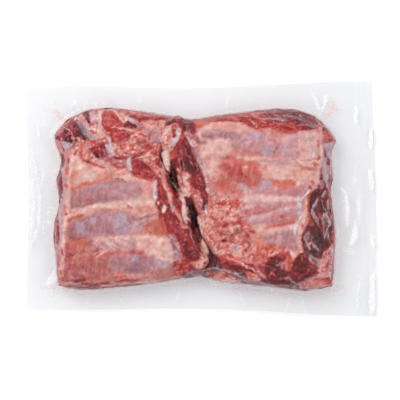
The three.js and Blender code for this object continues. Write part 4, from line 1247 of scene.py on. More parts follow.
RIGHT_FAT = (
    *CRUMBLED.lay((204, 196, 222, 194, 240, 200, 240, 212, 252, 228, 250, 244, 222, 250, 210, 246, 203,
        222), angle=30),
    *FAT.lay((203, 218, 214, 218, 218, 240, 222, 252, 212, 250, 206, 238), angle=70, blend=0.7),
    *areas(Tone.PALE, (212, 208, 220, 209, 221, 216, 213, 216), (222, 214, 232, 216, 236, 222, 226, 222),
        blend=0.55, ragged=0.8),
    *areas(Tone.SCARLET, (229, 200, 236, 199, 238.6, 204, 234, 207.6, 228, 205), soft=1.4, ragged=0.8),
    *strokes(Tone.RED, 2.2, (222, 227, 228, 223.4, 236, 222.6, 242, 226), (215, 231, 223, 233.6, 230, 236),
        (216, 203, 226, 205), (210, 206, 214, 210), (207, 217, 216, 219), (250, 231, 256, 233), (240, 228,
        248, 234), soft=1.0, ragged=0.8, rise=-0.3),
    *strokes(Tone.MAROON, 2.8, (224, 225.4, 226, 226.6), (231, 234, 233, 236), blend=0.7, soft=1.1),
    *strokes(Tone.WINE, 3.4, (222.4, 239.6, 225, 241.4), blend=1.0, soft=1.0, rise=-0.7),
    *strokes(Tone.CRIMSON, 1.8, (226, 240.6, 234, 243, 240, 244), (244, 243, 256, 246), blend=0.75,
        soft=0.9),
    *strokes(Tone.CREAM, 3.0, (229, 226, 233, 229, 232, 233), (211, 221, 213, 228), (236, 236, 238, 240),
        rise=0.4),
    *areas(Tone.GREY, (234, 229, 240, 229, 240.6, 235, 235, 235), (243, 241, 247, 241, 247, 246, 243, 246),
        blend=0.7, soft=1.2),
    *areas(Tone.CREAM, (227, 244, 236, 243.6, 244, 247, 242, 253, 232, 251), soft=1.6, rise=0.4),
    *areas(Tone.GREY, (230, 246, 240, 245, 239, 250, 232, 250), blend=0.5, soft=1.6),
    *CRUMBLED.lay((240, 244, 262, 243, 286, 248, 286, 257, 262, 260, 246, 257), angle=60),
    *areas(Tone.RUST, (256, 241, 266, 243, 276, 246, 272, 250, 258, 247), (252, 254, 262, 253.6, 270, 257,
        266, 261, 253, 260), blend=0.6, ragged=0.8),
    *areas(Tone.ROSE, (250, 261, 262, 259, 270, 261.6, 266, 268, 254, 267), soft=1.6),
    *MUSCLE.lay((270, 257, 277, 253.6, 288, 252, 290, 258, 276, 262, 266, 266, 262, 263), (252, 266, 266,
        267, 268, 282, 250, 281), angle=-30, blend=0.85),
    *DARK_MUSCLE.lay((265, 267, 272, 260, 276, 257.4, 283, 257.6, 284, 264, 292, 268, 300, 280, 264, 281,
        262, 272)),
    Grain(Tone.PINK, (268, 264, 274, 259, 281, 259, 280, 268, 272, 270), 1.6, 1.3, 70, 0.32, 0.7, rise=0.3),
    *areas(Tone.CRIMSON, (262, 272, 274, 273, 280, 277, 266, 280), (244, 270, 262, 275, 262, 281, 248, 279),
        blend=0.6),
    *areas(Tone.WINE, (266, 262, 272, 257, 276, 258, 272, 266, 268, 274, 264, 272), (276, 266, 284, 268,
        288, 276, 276, 277), blend=0.75, soft=1.2, ragged=0.9),
    *areas(Tone.ORANGE, (284, 260, 287, 256, 291, 256, 291, 270, 285, 271), soft=1.0, blend=0.9),
    *strokes(Tone.LILAC, 2.4, (282, 261, 282.6, 269), soft=1.0),
    *strokes(Tone.RUST, 1.6, (288, 259, 289, 270), (286.6, 254, 290, 257), (270, 272, 276, 276), soft=0.8),
    *strokes(Tone.PALE, 2.4, (290, 250, 292, 254, 297, 257.4), soft=0.8, rise=0.4),
)

RIGHT_BOTTOM = (
    *DARK_MUSCLE.lay((212, 256, 222, 259, 242, 262, 262, 276, 300, 281, 336, 280, 334, 291, 290, 292, 240,
        286, 214, 276), angle=-20),
    *areas(Tone.BROWN, (214, 258, 222, 260, 230, 268, 240, 276, 228, 274, 216, 268), blend=0.5, soft=1.6,
        ragged=0.8),
    *strokes(Tone.PEACH, 4.4, (212, 252.6, 224, 255.6, 236, 259, 248, 265, 258, 272, 264, 277), soft=1.1,
        rise=0.5),
    *strokes(Tone.SCARLET, 2.6, (212, 255, 222, 259, 232, 262, 240, 264), (226, 254, 240, 259.6), (246, 272,
        254, 277)),
    *strokes(Tone.CRIMSON, 2.4, (242, 262.6, 250, 266, 257, 271), (218, 262, 228, 268, 240, 273), blend=1.0,
        soft=1.0),
    *strokes(Tone.PALE, 1.4, (240.6, 262.6, 247, 267, 256, 272, 262, 276), soft=0.6, rise=0.3),
    *FAT.lay((244, 271, 256, 274, 260, 280, 248, 279), angle=20, blend=0.8),
    *MUSCLE.lay((306, 259, 311, 262, 317, 267, 318, 280, 306, 282)),
    *DARK_MUSCLE.lay((290, 272, 292.6, 263, 296, 257, 302, 252.4, 306.4, 254, 307.6, 262, 311, 268, 317,
        272.6, 314, 278, 309, 281.6, 297, 282.6, 292.4, 278), angle=60),
    *areas(Tone.WINE, (293, 262, 299, 257, 304, 258, 306, 266, 311, 273, 304, 280, 296, 280, 292, 272),
        blend=0.75, ragged=1.0),
    Grain(Tone.CRIMSON, (291, 260, 302, 253, 308, 262, 315, 273, 304, 282, 291, 279), 1.8, 1.8, 60, 0.34,
        0.8),
    *strokes(Tone.RUST, 1.5, (292, 267, 293, 272), (286, 276, 290, 279), (300, 256, 302, 262), soft=0.8),
    *areas(Tone.CREAM, (205, 272.6, 213, 270.6, 226, 273, 242, 283, 230, 285, 212, 282), blend=1.0,
        soft=1.2),
    *areas(Tone.ORANGE, (208, 274, 218, 272, 228, 276, 222, 281, 210, 279), blend=0.7, ragged=0.8),
    Grain(Tone.CRIMSON, (206, 272, 226, 273, 242, 284, 210, 283), 2.2, 2.0, -25, 0.3, 0.7),
    *strokes(Tone.RED, 1.5, (208, 271.6, 214, 272.6), (222, 274, 232, 278.6), blend=0.7, soft=0.8),
    *strokes(Tone.MAROON, 2.0, (204, 281.6, 222, 284, 242, 286, 262, 288, 284, 291, 300, 291.6), blend=0.7,
        soft=1.2),
    *strokes(Tone.MAUVE, 2.4, (232, 276, 244, 281, 256, 284, 276, 286), (296, 284, 306, 280, 316, 276),
        blend=0.8),
    *strokes(Tone.WINE, 3.2, (264, 281.5, 274, 282.6, 288, 283, 302, 282), blend=1.0, soft=1.2),
    *strokes(Tone.ROSE, 1.8, (250, 287, 258, 287.6), (268, 286, 292, 286.6), blend=0.7, soft=1.0),
    *areas(Tone.ROSE, (298, 285, 312, 281, 326, 280, 334, 286.6, 322, 291, 302, 291), blend=1.0, soft=1.3),
    *areas(Tone.PALE, (328, 273, 336, 272, 336, 282, 330, 281), blend=1.0, soft=1.2),
    *areas(Tone.MAUVE, (300, 286, 312, 284, 320, 288, 306, 291), blend=0.6),
    *areas(Tone.ORANGE, (306, 280, 318, 279, 322, 284, 310, 285), blend=0.6),
    *areas(Tone.SCARLET, (320, 279.6, 328, 279.6, 332.6, 284, 331, 287, 325, 284), soft=1.1),
)

RIGHT_TOP = (
    *MUSCLE.lay((200, 116, 230, 106, 255, 102, 280, 100, 304, 102, 324, 112, 324, 123, 317.6, 128.4, 302,
        130.4, 289, 133, 278, 130.6, 268, 127.4, 252, 128.4, 244, 123.6, 225, 121, 205, 120.4), angle=-8),
    *areas(Tone.ROSE, (206, 117, 232, 113, 250, 110, 266, 110, 264, 116, 238, 117, 216, 118), blend=0.6,
        soft=1.4),
    *DARK_MUSCLE.lay((258, 106, 282, 100, 304, 102, 324, 114, 322, 124, 314, 129, 300, 125, 286, 119, 268,
        119), angle=-14, blend=0.9),
    *areas(Tone.PURPLE, (270, 110, 284, 109, 300, 112, 314, 118, 318, 124, 300, 121, 284, 116), blend=0.45,
        soft=1.6),
    Grain(Tone.SCARLET, (246, 118, 262, 118, 296, 124, 302, 129, 286, 132, 268, 127, 252, 127), 1.8, 3.2,
        -8, 0.38, 0.75, rise=0.3),
    Grain(Tone.PINK, (240, 112, 262, 110, 270, 116, 262, 121, 246, 118), 2.0, 2.0, -20, 0.4, 0.8, rise=0.2),
    *strokes(Tone.RUST, 2.0, (270, 128, 280, 131.6, 292, 132.4, 302, 130.2), (244, 123.6, 252, 127.8, 262,
        127.6)),
    *strokes(Tone.ROSE, 1.2, (262, 118.6, 280, 119), (296, 125, 316, 127), (272, 123, 296, 128), soft=0.7,
        rise=0.2),
    # Painted glints: tiny bright dots on the muscle.
    *strokes(Tone.IVORY, 1.1, (249, 119.6, 252, 122.6, 255, 124.4), (282, 120, 284, 120.8), (256.4, 125,
        256.6, 127.6), (300, 114.6, 301, 116), (231, 117, 236, 118), soft=0.6),
    *strokes(Tone.ORANGE, 2.6, (316, 128.6, 322, 121, 326, 122), soft=1.2),
    # Painted sheen: the film's light on the top muscle.
    *areas(Tone.LILAC, (258, 106, 272, 104.6, 279, 109, 270, 113.6, 260, 112), blend=0.6, soft=1.5,
        ragged=0.8),
)

# Outlines of painted reflections: shards where the wrinkled film over the dark muscle mirrors the light.
EDGE_FILM_REFLECTIONS = (
    (319, 196, 315, 203, 311.4, 210, 312, 218, 316, 223, 320, 227, 317, 218, 314, 210, 318, 203),
    (319.6, 219, 322.6, 214.4, 327.6, 212, 328.6, 217.6, 330.6, 222, 327.6, 228, 326.4, 236, 323.4, 231.6,
        322.8, 226),
    (303.4, 237, 306.6, 232.6, 309.4, 230.4, 310.6, 234.6, 313.6, 237, 310.4, 240.6, 308.6, 246.6, 305.6,
        241.4),
    (311, 242.4, 315, 245, 319.6, 253, 314, 249),
    (308.6, 254, 315, 257.4, 320, 262, 318.8, 269.4, 314.8, 264, 310.6, 260.6),
)

RIGHT_EDGE = (
    *areas(Tone.PINK, (318, 128, 330, 128, 338, 140, 336, 180, 338, 250, 336, 286, 318, 286, 306, 254, 303,
        232, 310, 196, 318, 180), blend=1.0, soft=1.2),
    *strokes(Tone.CREAM, 4.0, (320.6, 129, 320, 150, 318.6, 168, 316, 184, 309, 197, 305.6, 212, 300, 228,
        298.6, 244, 303, 254), soft=1.3, rise=0.4),
    *strokes(Tone.PALE, 2.4, (321, 131, 321.6, 148, 321, 160), (306.6, 202, 306.8, 214), soft=1.0),
    *strokes(Tone.RUST, 2.6, (318.6, 156, 317.4, 160), (313, 164, 318.6, 164), (311.6, 181, 313, 184),
        (318.4, 140, 318, 147), (303, 236, 302.6, 244, 306, 252)),
    *strokes(Tone.RED, 2.6, (318.8, 157, 318.4, 159.6), (301, 224, 303.6, 227), (309.6, 186, 312, 190),
        soft=0.9),
    *MUSCLE.lay((325, 129, 329, 130, 333, 135, 337, 139.6, 330, 141, 325.6, 144, 323.6, 140)),
    *areas(Tone.SCARLET, (327, 130, 331, 133, 337, 138.6, 334, 141, 330, 138), soft=1.0),
    *strokes(Tone.ORANGE, 1.6, (327, 129.4, 332, 133.6, 337, 139.4, 333, 143), blend=0.7, soft=0.9),
    *strokes(Tone.MAROON, 2.0, (322.4, 128.4, 324, 131), (323, 128, 326.6, 126.4), soft=0.9),
    *areas(Tone.PINK, (320, 131, 326, 132, 328, 146, 322, 147), blend=0.55, soft=1.2),
    # Painted highlight: the film's lavender sheen on the right side strip.
    *areas(Tone.LAVENDER, (324, 144, 332, 143, 332, 190, 325, 190, 323, 170), soft=1.4),
    *strokes(Tone.MAROON, 2.4, (327.6, 158, 328.4, 165), (329, 174, 331, 178, 330, 182), (324.4, 150, 325.4,
        158), (329.6, 184, 331, 190)),
    *strokes(Tone.ROSE, 2.4, (329.6, 144, 328, 150, 329, 156), (332, 160, 331.6, 172), (326, 164, 325.6,
        174), (332.6, 182, 332.4, 190)),
    *strokes(Tone.PURPLE, 3.4, (320.4, 168, 320.8, 180, 321.4, 194), soft=1.1),
    *strokes(Tone.WINE, 2.4, (321, 174, 320.6, 180), (323.6, 180, 325, 192), (318.6, 186, 318, 192),
        soft=1.0),
    *DARK_MUSCLE.lay((310, 195, 318, 189, 327, 188, 331.6, 196, 335, 214, 334.6, 238, 329, 250, 321, 259,
        308.6, 257, 302.6, 247, 303, 232, 308.6, 221, 309.4, 204), angle=80),
    *areas(Tone.WINE, (310, 196, 316, 193, 320, 197, 315, 204, 311, 207), (314, 206, 320, 202, 326, 208,
        318, 216), (309, 227, 318, 225, 323, 238, 322, 249, 314, 250, 313, 240), (307, 250, 316, 249, 323,
        252, 319, 258, 311, 258), blend=0.9, ragged=0.8),
    *areas(Tone.BLACK, (314, 230, 318, 229, 321, 238, 320, 246, 315.6, 243), (308, 249, 312, 250, 313, 254,
        309, 254), blend=0.4, soft=1.2),
    *strokes(Tone.RUST, 3.0, (331, 200, 334, 214, 334.6, 226, 333, 240), (310.6, 192, 309, 200, 308, 212),
        (308, 214, 310, 221, 312, 226), soft=1.1),
    *strokes(Tone.SCARLET, 2.6, (333, 234, 332, 240), (330, 192, 332, 198), (319, 213, 320, 219), soft=1.0),
    # Painted reflection: the film's grey shards, with lavender lines round them.
    *areas(Tone.GREY, *EDGE_FILM_REFLECTIONS, blend=0.95, soft=0.6),
    *strokes(Tone.LAVENDER, 1.6, (317, 200, 313.4, 207, 313.4, 214, 317, 221), (322, 219, 326, 215.6),
        (327.6, 220, 326.6, 228), (305, 236, 308, 233, 310, 236), (310, 241, 308, 244), (311.6, 257, 317,
        264), blend=0.8, soft=0.8),
    *strokes(Tone.WINE, 1.6, (323.6, 218, 325.6, 225, 325, 233), (307, 235, 309.6, 238, 307.6, 243), (312.6,
        258.4, 316.6, 263.4), blend=0.7, soft=0.8),
    # Painted highlights along the edges of the film's shards.
    *strokes(Tone.VEIL_AND_GLARE, 1.2, (319, 196.4, 315, 203, 311.6, 210, 312.4, 218), (321, 217, 326, 213.6, 329.6,
        221, 325, 237), (304, 238, 308, 246, 312, 241), (309, 247, 308.4, 250.4), (312, 244, 318.6, 252),
        (322, 197, 323, 207, 328, 213), blend=0.7, soft=0.6, rise=0.3),
    *areas(Tone.PINK, (321.6, 256, 327, 250, 334.6, 242, 337, 268, 334, 281, 322.6, 280), blend=1.0,
        soft=1.1),
    Grain(Tone.RED, (322, 254, 329, 250, 329, 278, 322, 276), 1.7, 1.4, 80, 0.32, 0.8),
    *strokes(Tone.LAVENDER, 2.4, (332, 246, 332.6, 262, 332, 278), soft=0.9),
    # Painted highlights: pale streaks of film glare down the right side.
    *strokes(Tone.VEIL_AND_GLARE, 5.0, (333.6, 142, 331.6, 152, 332, 168, 333.4, 180), (334, 248, 334.6, 264, 333,
        280), blend=0.8, soft=1.6),
    *strokes(Tone.MAGENTA, 1.4, (331.6, 256, 331.8, 262), (333.6, 262, 333.4, 270), blend=0.6, soft=0.8),
    *strokes(Tone.PALE, 1.3, (308, 255, 311, 262, 316, 268, 322, 272.6), soft=0.6, rise=0.3),
)

MEAT_MARKS = (
    *LEFT_GROUND,
    *LEFT_EDGE,
    *FLAP_PAINT,
    *TOP_BAND,
    *CORNER,
    *RIGHT_GROUND,
    *RIGHT_FAT,
    *RIGHT_TOP,
    *CLEFT_PAINT,
    *RIGHT_EDGE,
    *RIGHT_BOTTOM,
)

BUSY_MEAT = areas(
    Tone.RED,
    (56, 136, 70, 118, 92, 108, 130, 110, 190, 118, 200, 150, 212, 190, 220, 230, 212, 272, 178, 276, 172,
        230, 156, 182, 100, 166, 76, 156),
    (204, 194, 244, 198, 252, 236, 300, 250, 303, 232, 308, 200, 316, 186, 334, 190, 336, 290, 240, 290,
        212, 262),
    (240, 106, 300, 104, 330, 124, 336, 150, 316, 130, 244, 124),
    blend=1.0,
    soft=7.0,
)

# Marks on the film: its milky patches, with painted light. The veil and glint marks are painted highlights
# and glare of the stretched film, and the grey lines along the lower edges are painted shadow.
FILM_HAZE_GLARE_AND_SHADE = (
    *areas(Tone.VEIL_AND_GLARE, (61, 141, 67, 142, 73, 144, 72, 147, 66, 150, 64, 149), (76, 121, 80, 121, 85, 127,
        91, 133, 97, 139, 95, 141, 90, 140, 85, 136, 80, 127), blend=0.35, soft=1.0, rise=0.2),
    *areas(Tone.VEIL_AND_GLARE, (104.4, 145, 108.5, 143.6, 112, 150, 112.4, 155, 107.6, 150), (172, 138.6, 179, 138.6,
        176, 144, 173.4, 149, 171.2, 142), (177, 127.4, 180, 130, 180.6, 135, 178.6, 139, 176.4, 133),
        blend=0.75, soft=0.8, rise=0.3),
    *strokes(Tone.VEIL_AND_GLARE, 2.4, (107, 136.4, 110, 141, 112, 148, 114, 155.6), (86.5, 122, 88, 127, 90.5, 130),
        blend=0.8, soft=0.8, rise=0.4),
    *strokes(Tone.VEIL_AND_GLARE, 3.4, (130, 156.4, 128.8, 162, 130, 168, 131.8, 171), soft=0.8, rise=0.6),
    *strokes(Tone.GLINT, 3.8, (156.4, 181, 154.2, 186, 155.4, 192, 155.6, 201), blend=0.75, soft=1.1,
        rise=0.6),
    *strokes(Tone.GLINT, 1.6, (122, 115, 128, 118.2, 134, 121), (113, 153.6, 113.6, 155.6), (216.6, 243,
        213.4, 250), (212.4, 252.6, 217, 252.6), (206.4, 204, 205.6, 208.4, 206.8, 214), (195.6, 195, 196.4,
        197), (186.8, 176, 183.4, 184), (162, 131.6, 163, 131.2), blend=0.8, soft=0.7, rise=0.3),
    *strokes(Tone.VEIL_AND_GLARE, 1.8, (160, 138.4, 162, 143), (164, 130.6, 170, 125), (166, 145.6, 167, 149),
        blend=0.6, soft=0.8),
    *strokes(Tone.VEIL_AND_GLARE, 0.8, (171, 181, 174, 185.6, 177, 190), (187, 208, 190, 214, 191.6, 217.6),
        blend=0.75, soft=0.5),
    *strokes(Tone.GLINT, 2.4, (181, 188.2, 187.4, 190.8), (302, 214.6, 299, 219.6, 296.6, 225, 294.4, 231,
        295.4, 237), (309.6, 189.6, 305.6, 195, 301, 200.6), (313.6, 151.6, 312.8, 158), blend=0.8,
        soft=0.9, rise=0.5),
    *strokes(Tone.GLINT, 4.6, (297.6, 197, 299, 203, 299.4, 208), blend=0.85, soft=1.6, rise=0.3),
    *strokes(Tone.VEIL_AND_GLARE, 1.0, (328, 200, 328.4, 212), (309, 254, 318, 262, 318.4, 269), (323, 233, 325, 240),
        (327, 228, 329, 240), (331, 216, 331.4, 219), blend=0.6, soft=0.6, rise=0.2),
    *strokes(Tone.VEIL_AND_GLARE, 1.3, (264, 119.6, 272, 116, 284, 115.6, 296, 117.4, 308, 121.6, 318, 126.6), (262,
        118, 286, 120.4), (300, 122, 308, 126, 318, 128), (276, 117.6, 290, 119.6), blend=0.42, soft=0.9,
        rise=0.25),
    *strokes(Tone.VEIL_AND_GLARE, 2.0, (221, 269.4, 233, 272.4, 245, 279, 262, 283, 276, 287), (202.4, 271.6, 208,
        268.8, 214, 268, 222, 270.6), blend=0.5, soft=0.9, rise=0.4),
    *strokes(Tone.VEIL_AND_GLARE, 1.2, (184, 276, 192, 271.6, 202, 270.4), blend=0.4, soft=0.8, rise=0.4),
    *strokes(Tone.VEIL_AND_GLARE, 1.5, (280, 278.4, 289, 279, 295, 283, 305, 282, 319, 275.4), (292, 288.4, 297,
        283.6), (244, 272, 232, 274), blend=0.5, soft=0.8, rise=0.3),
    # Painted shadow: the film's fold shade and the contact shadow along the meat's lower edge.
    *strokes(Tone.GREY, 1.6, (180, 280, 190, 276, 200, 275), (200, 276, 212, 282), blend=0.4, soft=1.0),
    *strokes(Tone.GREY, 2.0, (66, 289.4, 98, 290, 130, 287.6, 150, 286, 182, 283.4, 200, 281.4, 212, 284),
        (214, 286, 240, 289, 262, 291, 290, 294, 320, 292.4), blend=0.42, soft=1.2, ragged=0.8),
    *strokes(Tone.VEIL_AND_GLARE, 2.4, (324.6, 146, 330, 143.6), (323.6, 160, 325, 172, 324, 184), (327, 174, 327.4,
        182), (329.6, 152, 330.6, 160), (325, 190, 323, 197), blend=0.6, soft=0.9, rise=0.3),
    *strokes(Tone.VEIL_AND_GLARE, 2.2, (64.2, 167, 63.4, 176), (61, 200, 60.4, 212, 61, 236), (57, 250, 57.4, 270),
        (65.4, 186, 64, 198), (76, 184, 80, 181), (126.6, 178, 130, 178.6), blend=0.45, soft=1.0, rise=0.3),
    *strokes(Tone.VEIL_AND_GLARE, 1.6, (132, 119.6, 141, 125, 149, 134), (168, 120.6, 174, 118), (203, 130.6, 205,
        132), blend=0.4, soft=0.8, rise=0.3),
)

FILM_JUICE = (
    *strokes(Tone.JUICE, 1.5, (66, 120, 60, 117, 55.6, 113, 53.6, 104), (56, 113, 45, 109.6), (325, 118.6,
        331, 114, 333.4, 108, 333, 100), (332, 109.6, 343, 108.6), (58, 285.6, 52, 289.6, 46, 288, 42,
        288.6), (53, 289, 53, 298), (331.6, 286, 336, 289.4, 341, 288.6, 347, 288), (336, 289, 335, 297),
        blend=0.42, soft=1.2, ragged=0.7),
    *strokes(Tone.JUICE, 2.4, (55, 112, 56.4, 114.6), (333, 107, 333.6, 110), blend=0.35, soft=1.6,
        ragged=0.8),
)

# The border's pleats: their rise is relief, and their white is painted highlight.
BORDER_PLEAT_HIGHLIGHTS = (
    *strokes(Tone.WHITE, 1.6, (37, 123, 38.6, 137), (44, 168, 43, 178, 42.4, 186), (43.6, 222, 44, 236),
        blend=0.5, rise=0.3),
    *strokes(Tone.WHITE, 2.4, (31, 148, 34, 166, 37.4, 184, 39, 204, 38.4, 222, 34, 236, 30, 248), (29.6,
        160, 33, 204, 28.6, 244), blend=0.5, soft=2.2, rise=0.5),
    *areas(Tone.WHITE, (55.6, 269, 56.6, 281, 48.6, 285.6, 45.4, 283), (319.6, 116, 316, 104, 312, 93, 316,
        95, 320.6, 108), (321.6, 115, 323, 104, 326, 93, 328, 96, 325, 108), blend=0.6, soft=1.4, rise=0.6),
    *areas(Tone.WHITE, (342, 186, 345.6, 190, 348, 200, 348.6, 214, 347.4, 226, 345.8, 214, 344.6, 200),
        (355.8, 222, 357.6, 234, 353, 243, 349.4, 247, 350.6, 238), (355, 106, 357, 106, 357, 124, 354.8,
        122), (369.6, 130, 373.4, 128, 372, 148, 369, 146), (369, 168, 372.6, 170, 373.4, 190, 369.6, 191),
        (370, 233, 374, 238, 374.6, 248, 370.4, 245), (370.6, 274, 374, 270, 374.6, 312, 371.4, 312),
        blend=0.7, soft=1.1, rise=0.4),
    *strokes(Tone.WHITE, 1.2, (358.6, 192, 358.6, 222), (354, 184, 356.4, 168), (359, 276, 358.4, 312),
        (347, 134, 350, 140), blend=0.5, soft=0.8, rise=0.3),
    *strokes(Tone.WHITE, 3.0, (300, 291, 305, 312), (291, 292, 286, 313), (91, 290, 84, 306), (140, 96, 142,
        106), (230, 95, 226, 108), (120, 296, 122, 305), (180, 288, 176, 304), (240, 291, 244, 308), (340,
        251, 354, 252.6), blend=0.3, soft=2.2, rise=0.6),
)


def moved_side(side: Curve, dx: float, dy: float, first: tuple, last: tuple) -> Curve:
    """A side of the meat set in from the film by dx and dy, with its own two ends."""
    return Curve((first, *((p[0] + dx, p[1] + dy) for p in side.points[1:-1]), last))


def ridged(x: np.ndarray, y: np.ndarray, cell: float, seed: int) -> np.ndarray:
    """Sharp creases from 0 to 1: one less the size of the noise, cubed."""
    return (1.0 - np.abs(layered_noise(x, y, cell, seed, 2))) ** 3


@dataclass(frozen=True)
class Flesh:
    """How noise breaks up a painted colour, and the layers that show in a cut wall.

    A noise is given by its cell in millimetres and its strength, and lines also by their thinness.
    """

    calm_share: float = 0.14
    coarse: tuple[float, float] = (3.2, 0.1)
    fine: tuple[float, float] = (1.4, 0.14)
    pale_lines: tuple[float, float, float] = (5.5, 0.75, 7.0)
    blood_lines: tuple[float, float, float] = (6.5, 0.8, 6.0)
    level_noises: tuple[tuple[float, float], ...] = ((26.0, 3.0), (5.0, 1.2))
    levels: tuple[float, ...] = (0.0, 4.0, 5.5, 9.5, 11.0, 12.5, 14.0, 19.0, 21.0, 40.0)
    tones: tuple[Tone, ...] = (
        Tone.CREAM, Tone.PINK, Tone.ROSE, Tone.CRIMSON, Tone.ROSE,
        Tone.CREAM, Tone.CRIMSON, Tone.RED, Tone.PEACH, Tone.CREAM,
    )
    underside_level: float = 12.0
    underside_noise: tuple[float, float] = (34.0, 9.0)

    def lines(self, x: np.ndarray, y: np.ndarray, look: tuple[float, float, float], seed: int) -> np.ndarray:
        """Thin lines, which lie where a noise is close to zero."""
        cell, strength, thinness = look
        return strength * np.clip(1.0 - np.abs(layered_noise(x, y, cell, seed)) * thinness, 0.0, 1.0)

    def textured(self, colour: np.ndarray, x: np.ndarray, y: np.ndarray) -> np.ndarray:
        """Adds brightness noise, thin pale lines and thin blood-red lines to a painted colour.

        All three are stronger where the meat is busy, and blood shows least on pale fat.

        Args:
            colour: The painted sRGB colours.
            x: First coordinates, in millimetres.
            y: Second coordinates.

        Returns:
            The new colours.
        """
        busy = painted(x, y, Tone.RED, BUSY_MEAT, Seed.BUSY)
        share = self.calm_share + (1.0 - self.calm_share) * busy.cover
        grain = self.coarse[1] * layered_noise(x, y, self.coarse[0], 31)
        grain += self.fine[1] * layered_noise(x, y, self.fine[0], 33, 2) * share
        colour = colour * (1.0 + grain)[:, None]
        pale = share * self.lines(x, y, self.pale_lines, 35)
        colour = lerp(colour, colour * 0.6 + np.array(Tone.CREAM.value) * 0.42, pale[:, None])
        blood = share * self.lines(x, y, self.blood_lines, 37)
        blood = blood * np.clip((205.0 - colour[:, 1]) / 50.0, 0.1, 1.0)
        return lerp(colour, colour * np.array(BLOOD_STAIN), blood[:, None])

    def layers(self, along: np.ndarray, across: np.ndarray, height: np.ndarray) -> np.ndarray:
        """Colours by height: fat, lean, a seam of fat and lean again, each pushed about by noise."""
        (broad, broad_push), (small, small_push) = self.level_noises
        level = height + broad_push * layered_noise(along, across, broad, 41)
        level = level + small_push * layered_noise(along, across, small, 44)
        table = np.array([tone.value for tone in self.tones], dtype=float)
        return np.stack([np.interp(level, self.levels, table[:, k]) for k in range(3)], axis=-1)

    def underside(self, x: np.ndarray, y: np.ndarray) -> np.ndarray:
        """The underside's colours: the layers at a level that wanders, so fat with patches of lean."""
        cell, push = self.underside_noise
        return self.layers(x, y, self.underside_level + push * layered_noise(x, y, cell, 61))


FLESH = Flesh()


@dataclass
class MeatPiece:
    """A piece of meat that lies under the film."""

    name: str

    def make(self) -> bpy.types.Object:
        """Builds the piece's closed mesh and paints it."""
        raise NotImplementedError

    def top_at(self, x: np.ndarray, y: np.ndarray, rise: np.ndarray) -> np.ndarray:
        """The height of the piece's upper side, or minus infinity beside it.

        Args:
            x: First coordinates, in millimetres.
            y: Second coordinates.
            rise: The painted relief there.

        Returns:
            One height for each point.
        """
        raise NotImplementedError

    def finish(
        self,
        x: np.ndarray,
        y: np.ndarray,
        high: np.ndarray,
        low: np.ndarray,
        paint: Paint,
        wall: np.ndarray | float = 0.0,
    ) -> bpy.types.Object:
        """Joins the upper and the lower grid, and writes the colours of both.

        Args:
            x: The grid's first coordinates.
            y: Its second coordinates.
            high: The upper side's heights.
            low: The underside's heights.
            paint: The upper side's colours.
            wall: How far each upper point belongs to the side wall, from 0 to 1.

        Returns:
            The new object.
        """
        points, faces = closed_shell(np.dstack([x, y, high]), np.dstack([x, y, low]))
        colour = FLESH.textured(paint.colour, x.ravel(), y.ravel())
        layers = FLESH.layers((x + y).ravel(), (x - y).ravel(), high.ravel())
        colour = lerp(colour, layers, np.broadcast_to(wall, x.shape).reshape(-1, 1))
        below = FLESH.underside(x[1:-1, 1:-1].ravel(), y[1:-1, 1:-1].ravel())
        piece = make_object(self.name, points, faces)
        write_colour(piece, "tissue", under_film(np.vstack([colour, below])))
        return piece


@dataclass
class SidedPiece(MeatPiece):
    """A piece that is spread between four sides, on a grid of so many cells."""

    left: Curve = None
    right: Curve = None
    bottom: Curve = None
    top: Curve = None
    cells: tuple[int, int] = (170, 232)

    @property
    def sides(self) -> tuple[Curve, Curve, Curve, Curve]:
        """The left, right, bottom and top sides."""
        return self.left, self.right, self.bottom, self.top

    def outline(self) -> np.ndarray:
        """The piece's outline as a closed polyline."""
        ring = (self.bottom.line, self.right.line, self.top.line[::-1], self.left.line[::-1])
        return np.vstack(ring)[:, :2]

    def grid(
        self, near_sides: tuple[float, float], near_ends: tuple[float, float]
    ) -> tuple[np.ndarray, np.ndarray]:
        """The grid's two coordinates, with its lines drawn together near the sides and the ends."""
        columns, rows = self.cells
        place = patch(*self.sides, spaced(columns, *near_sides), spaced(rows, *near_ends))
        return place[..., 0], place[..., 1]


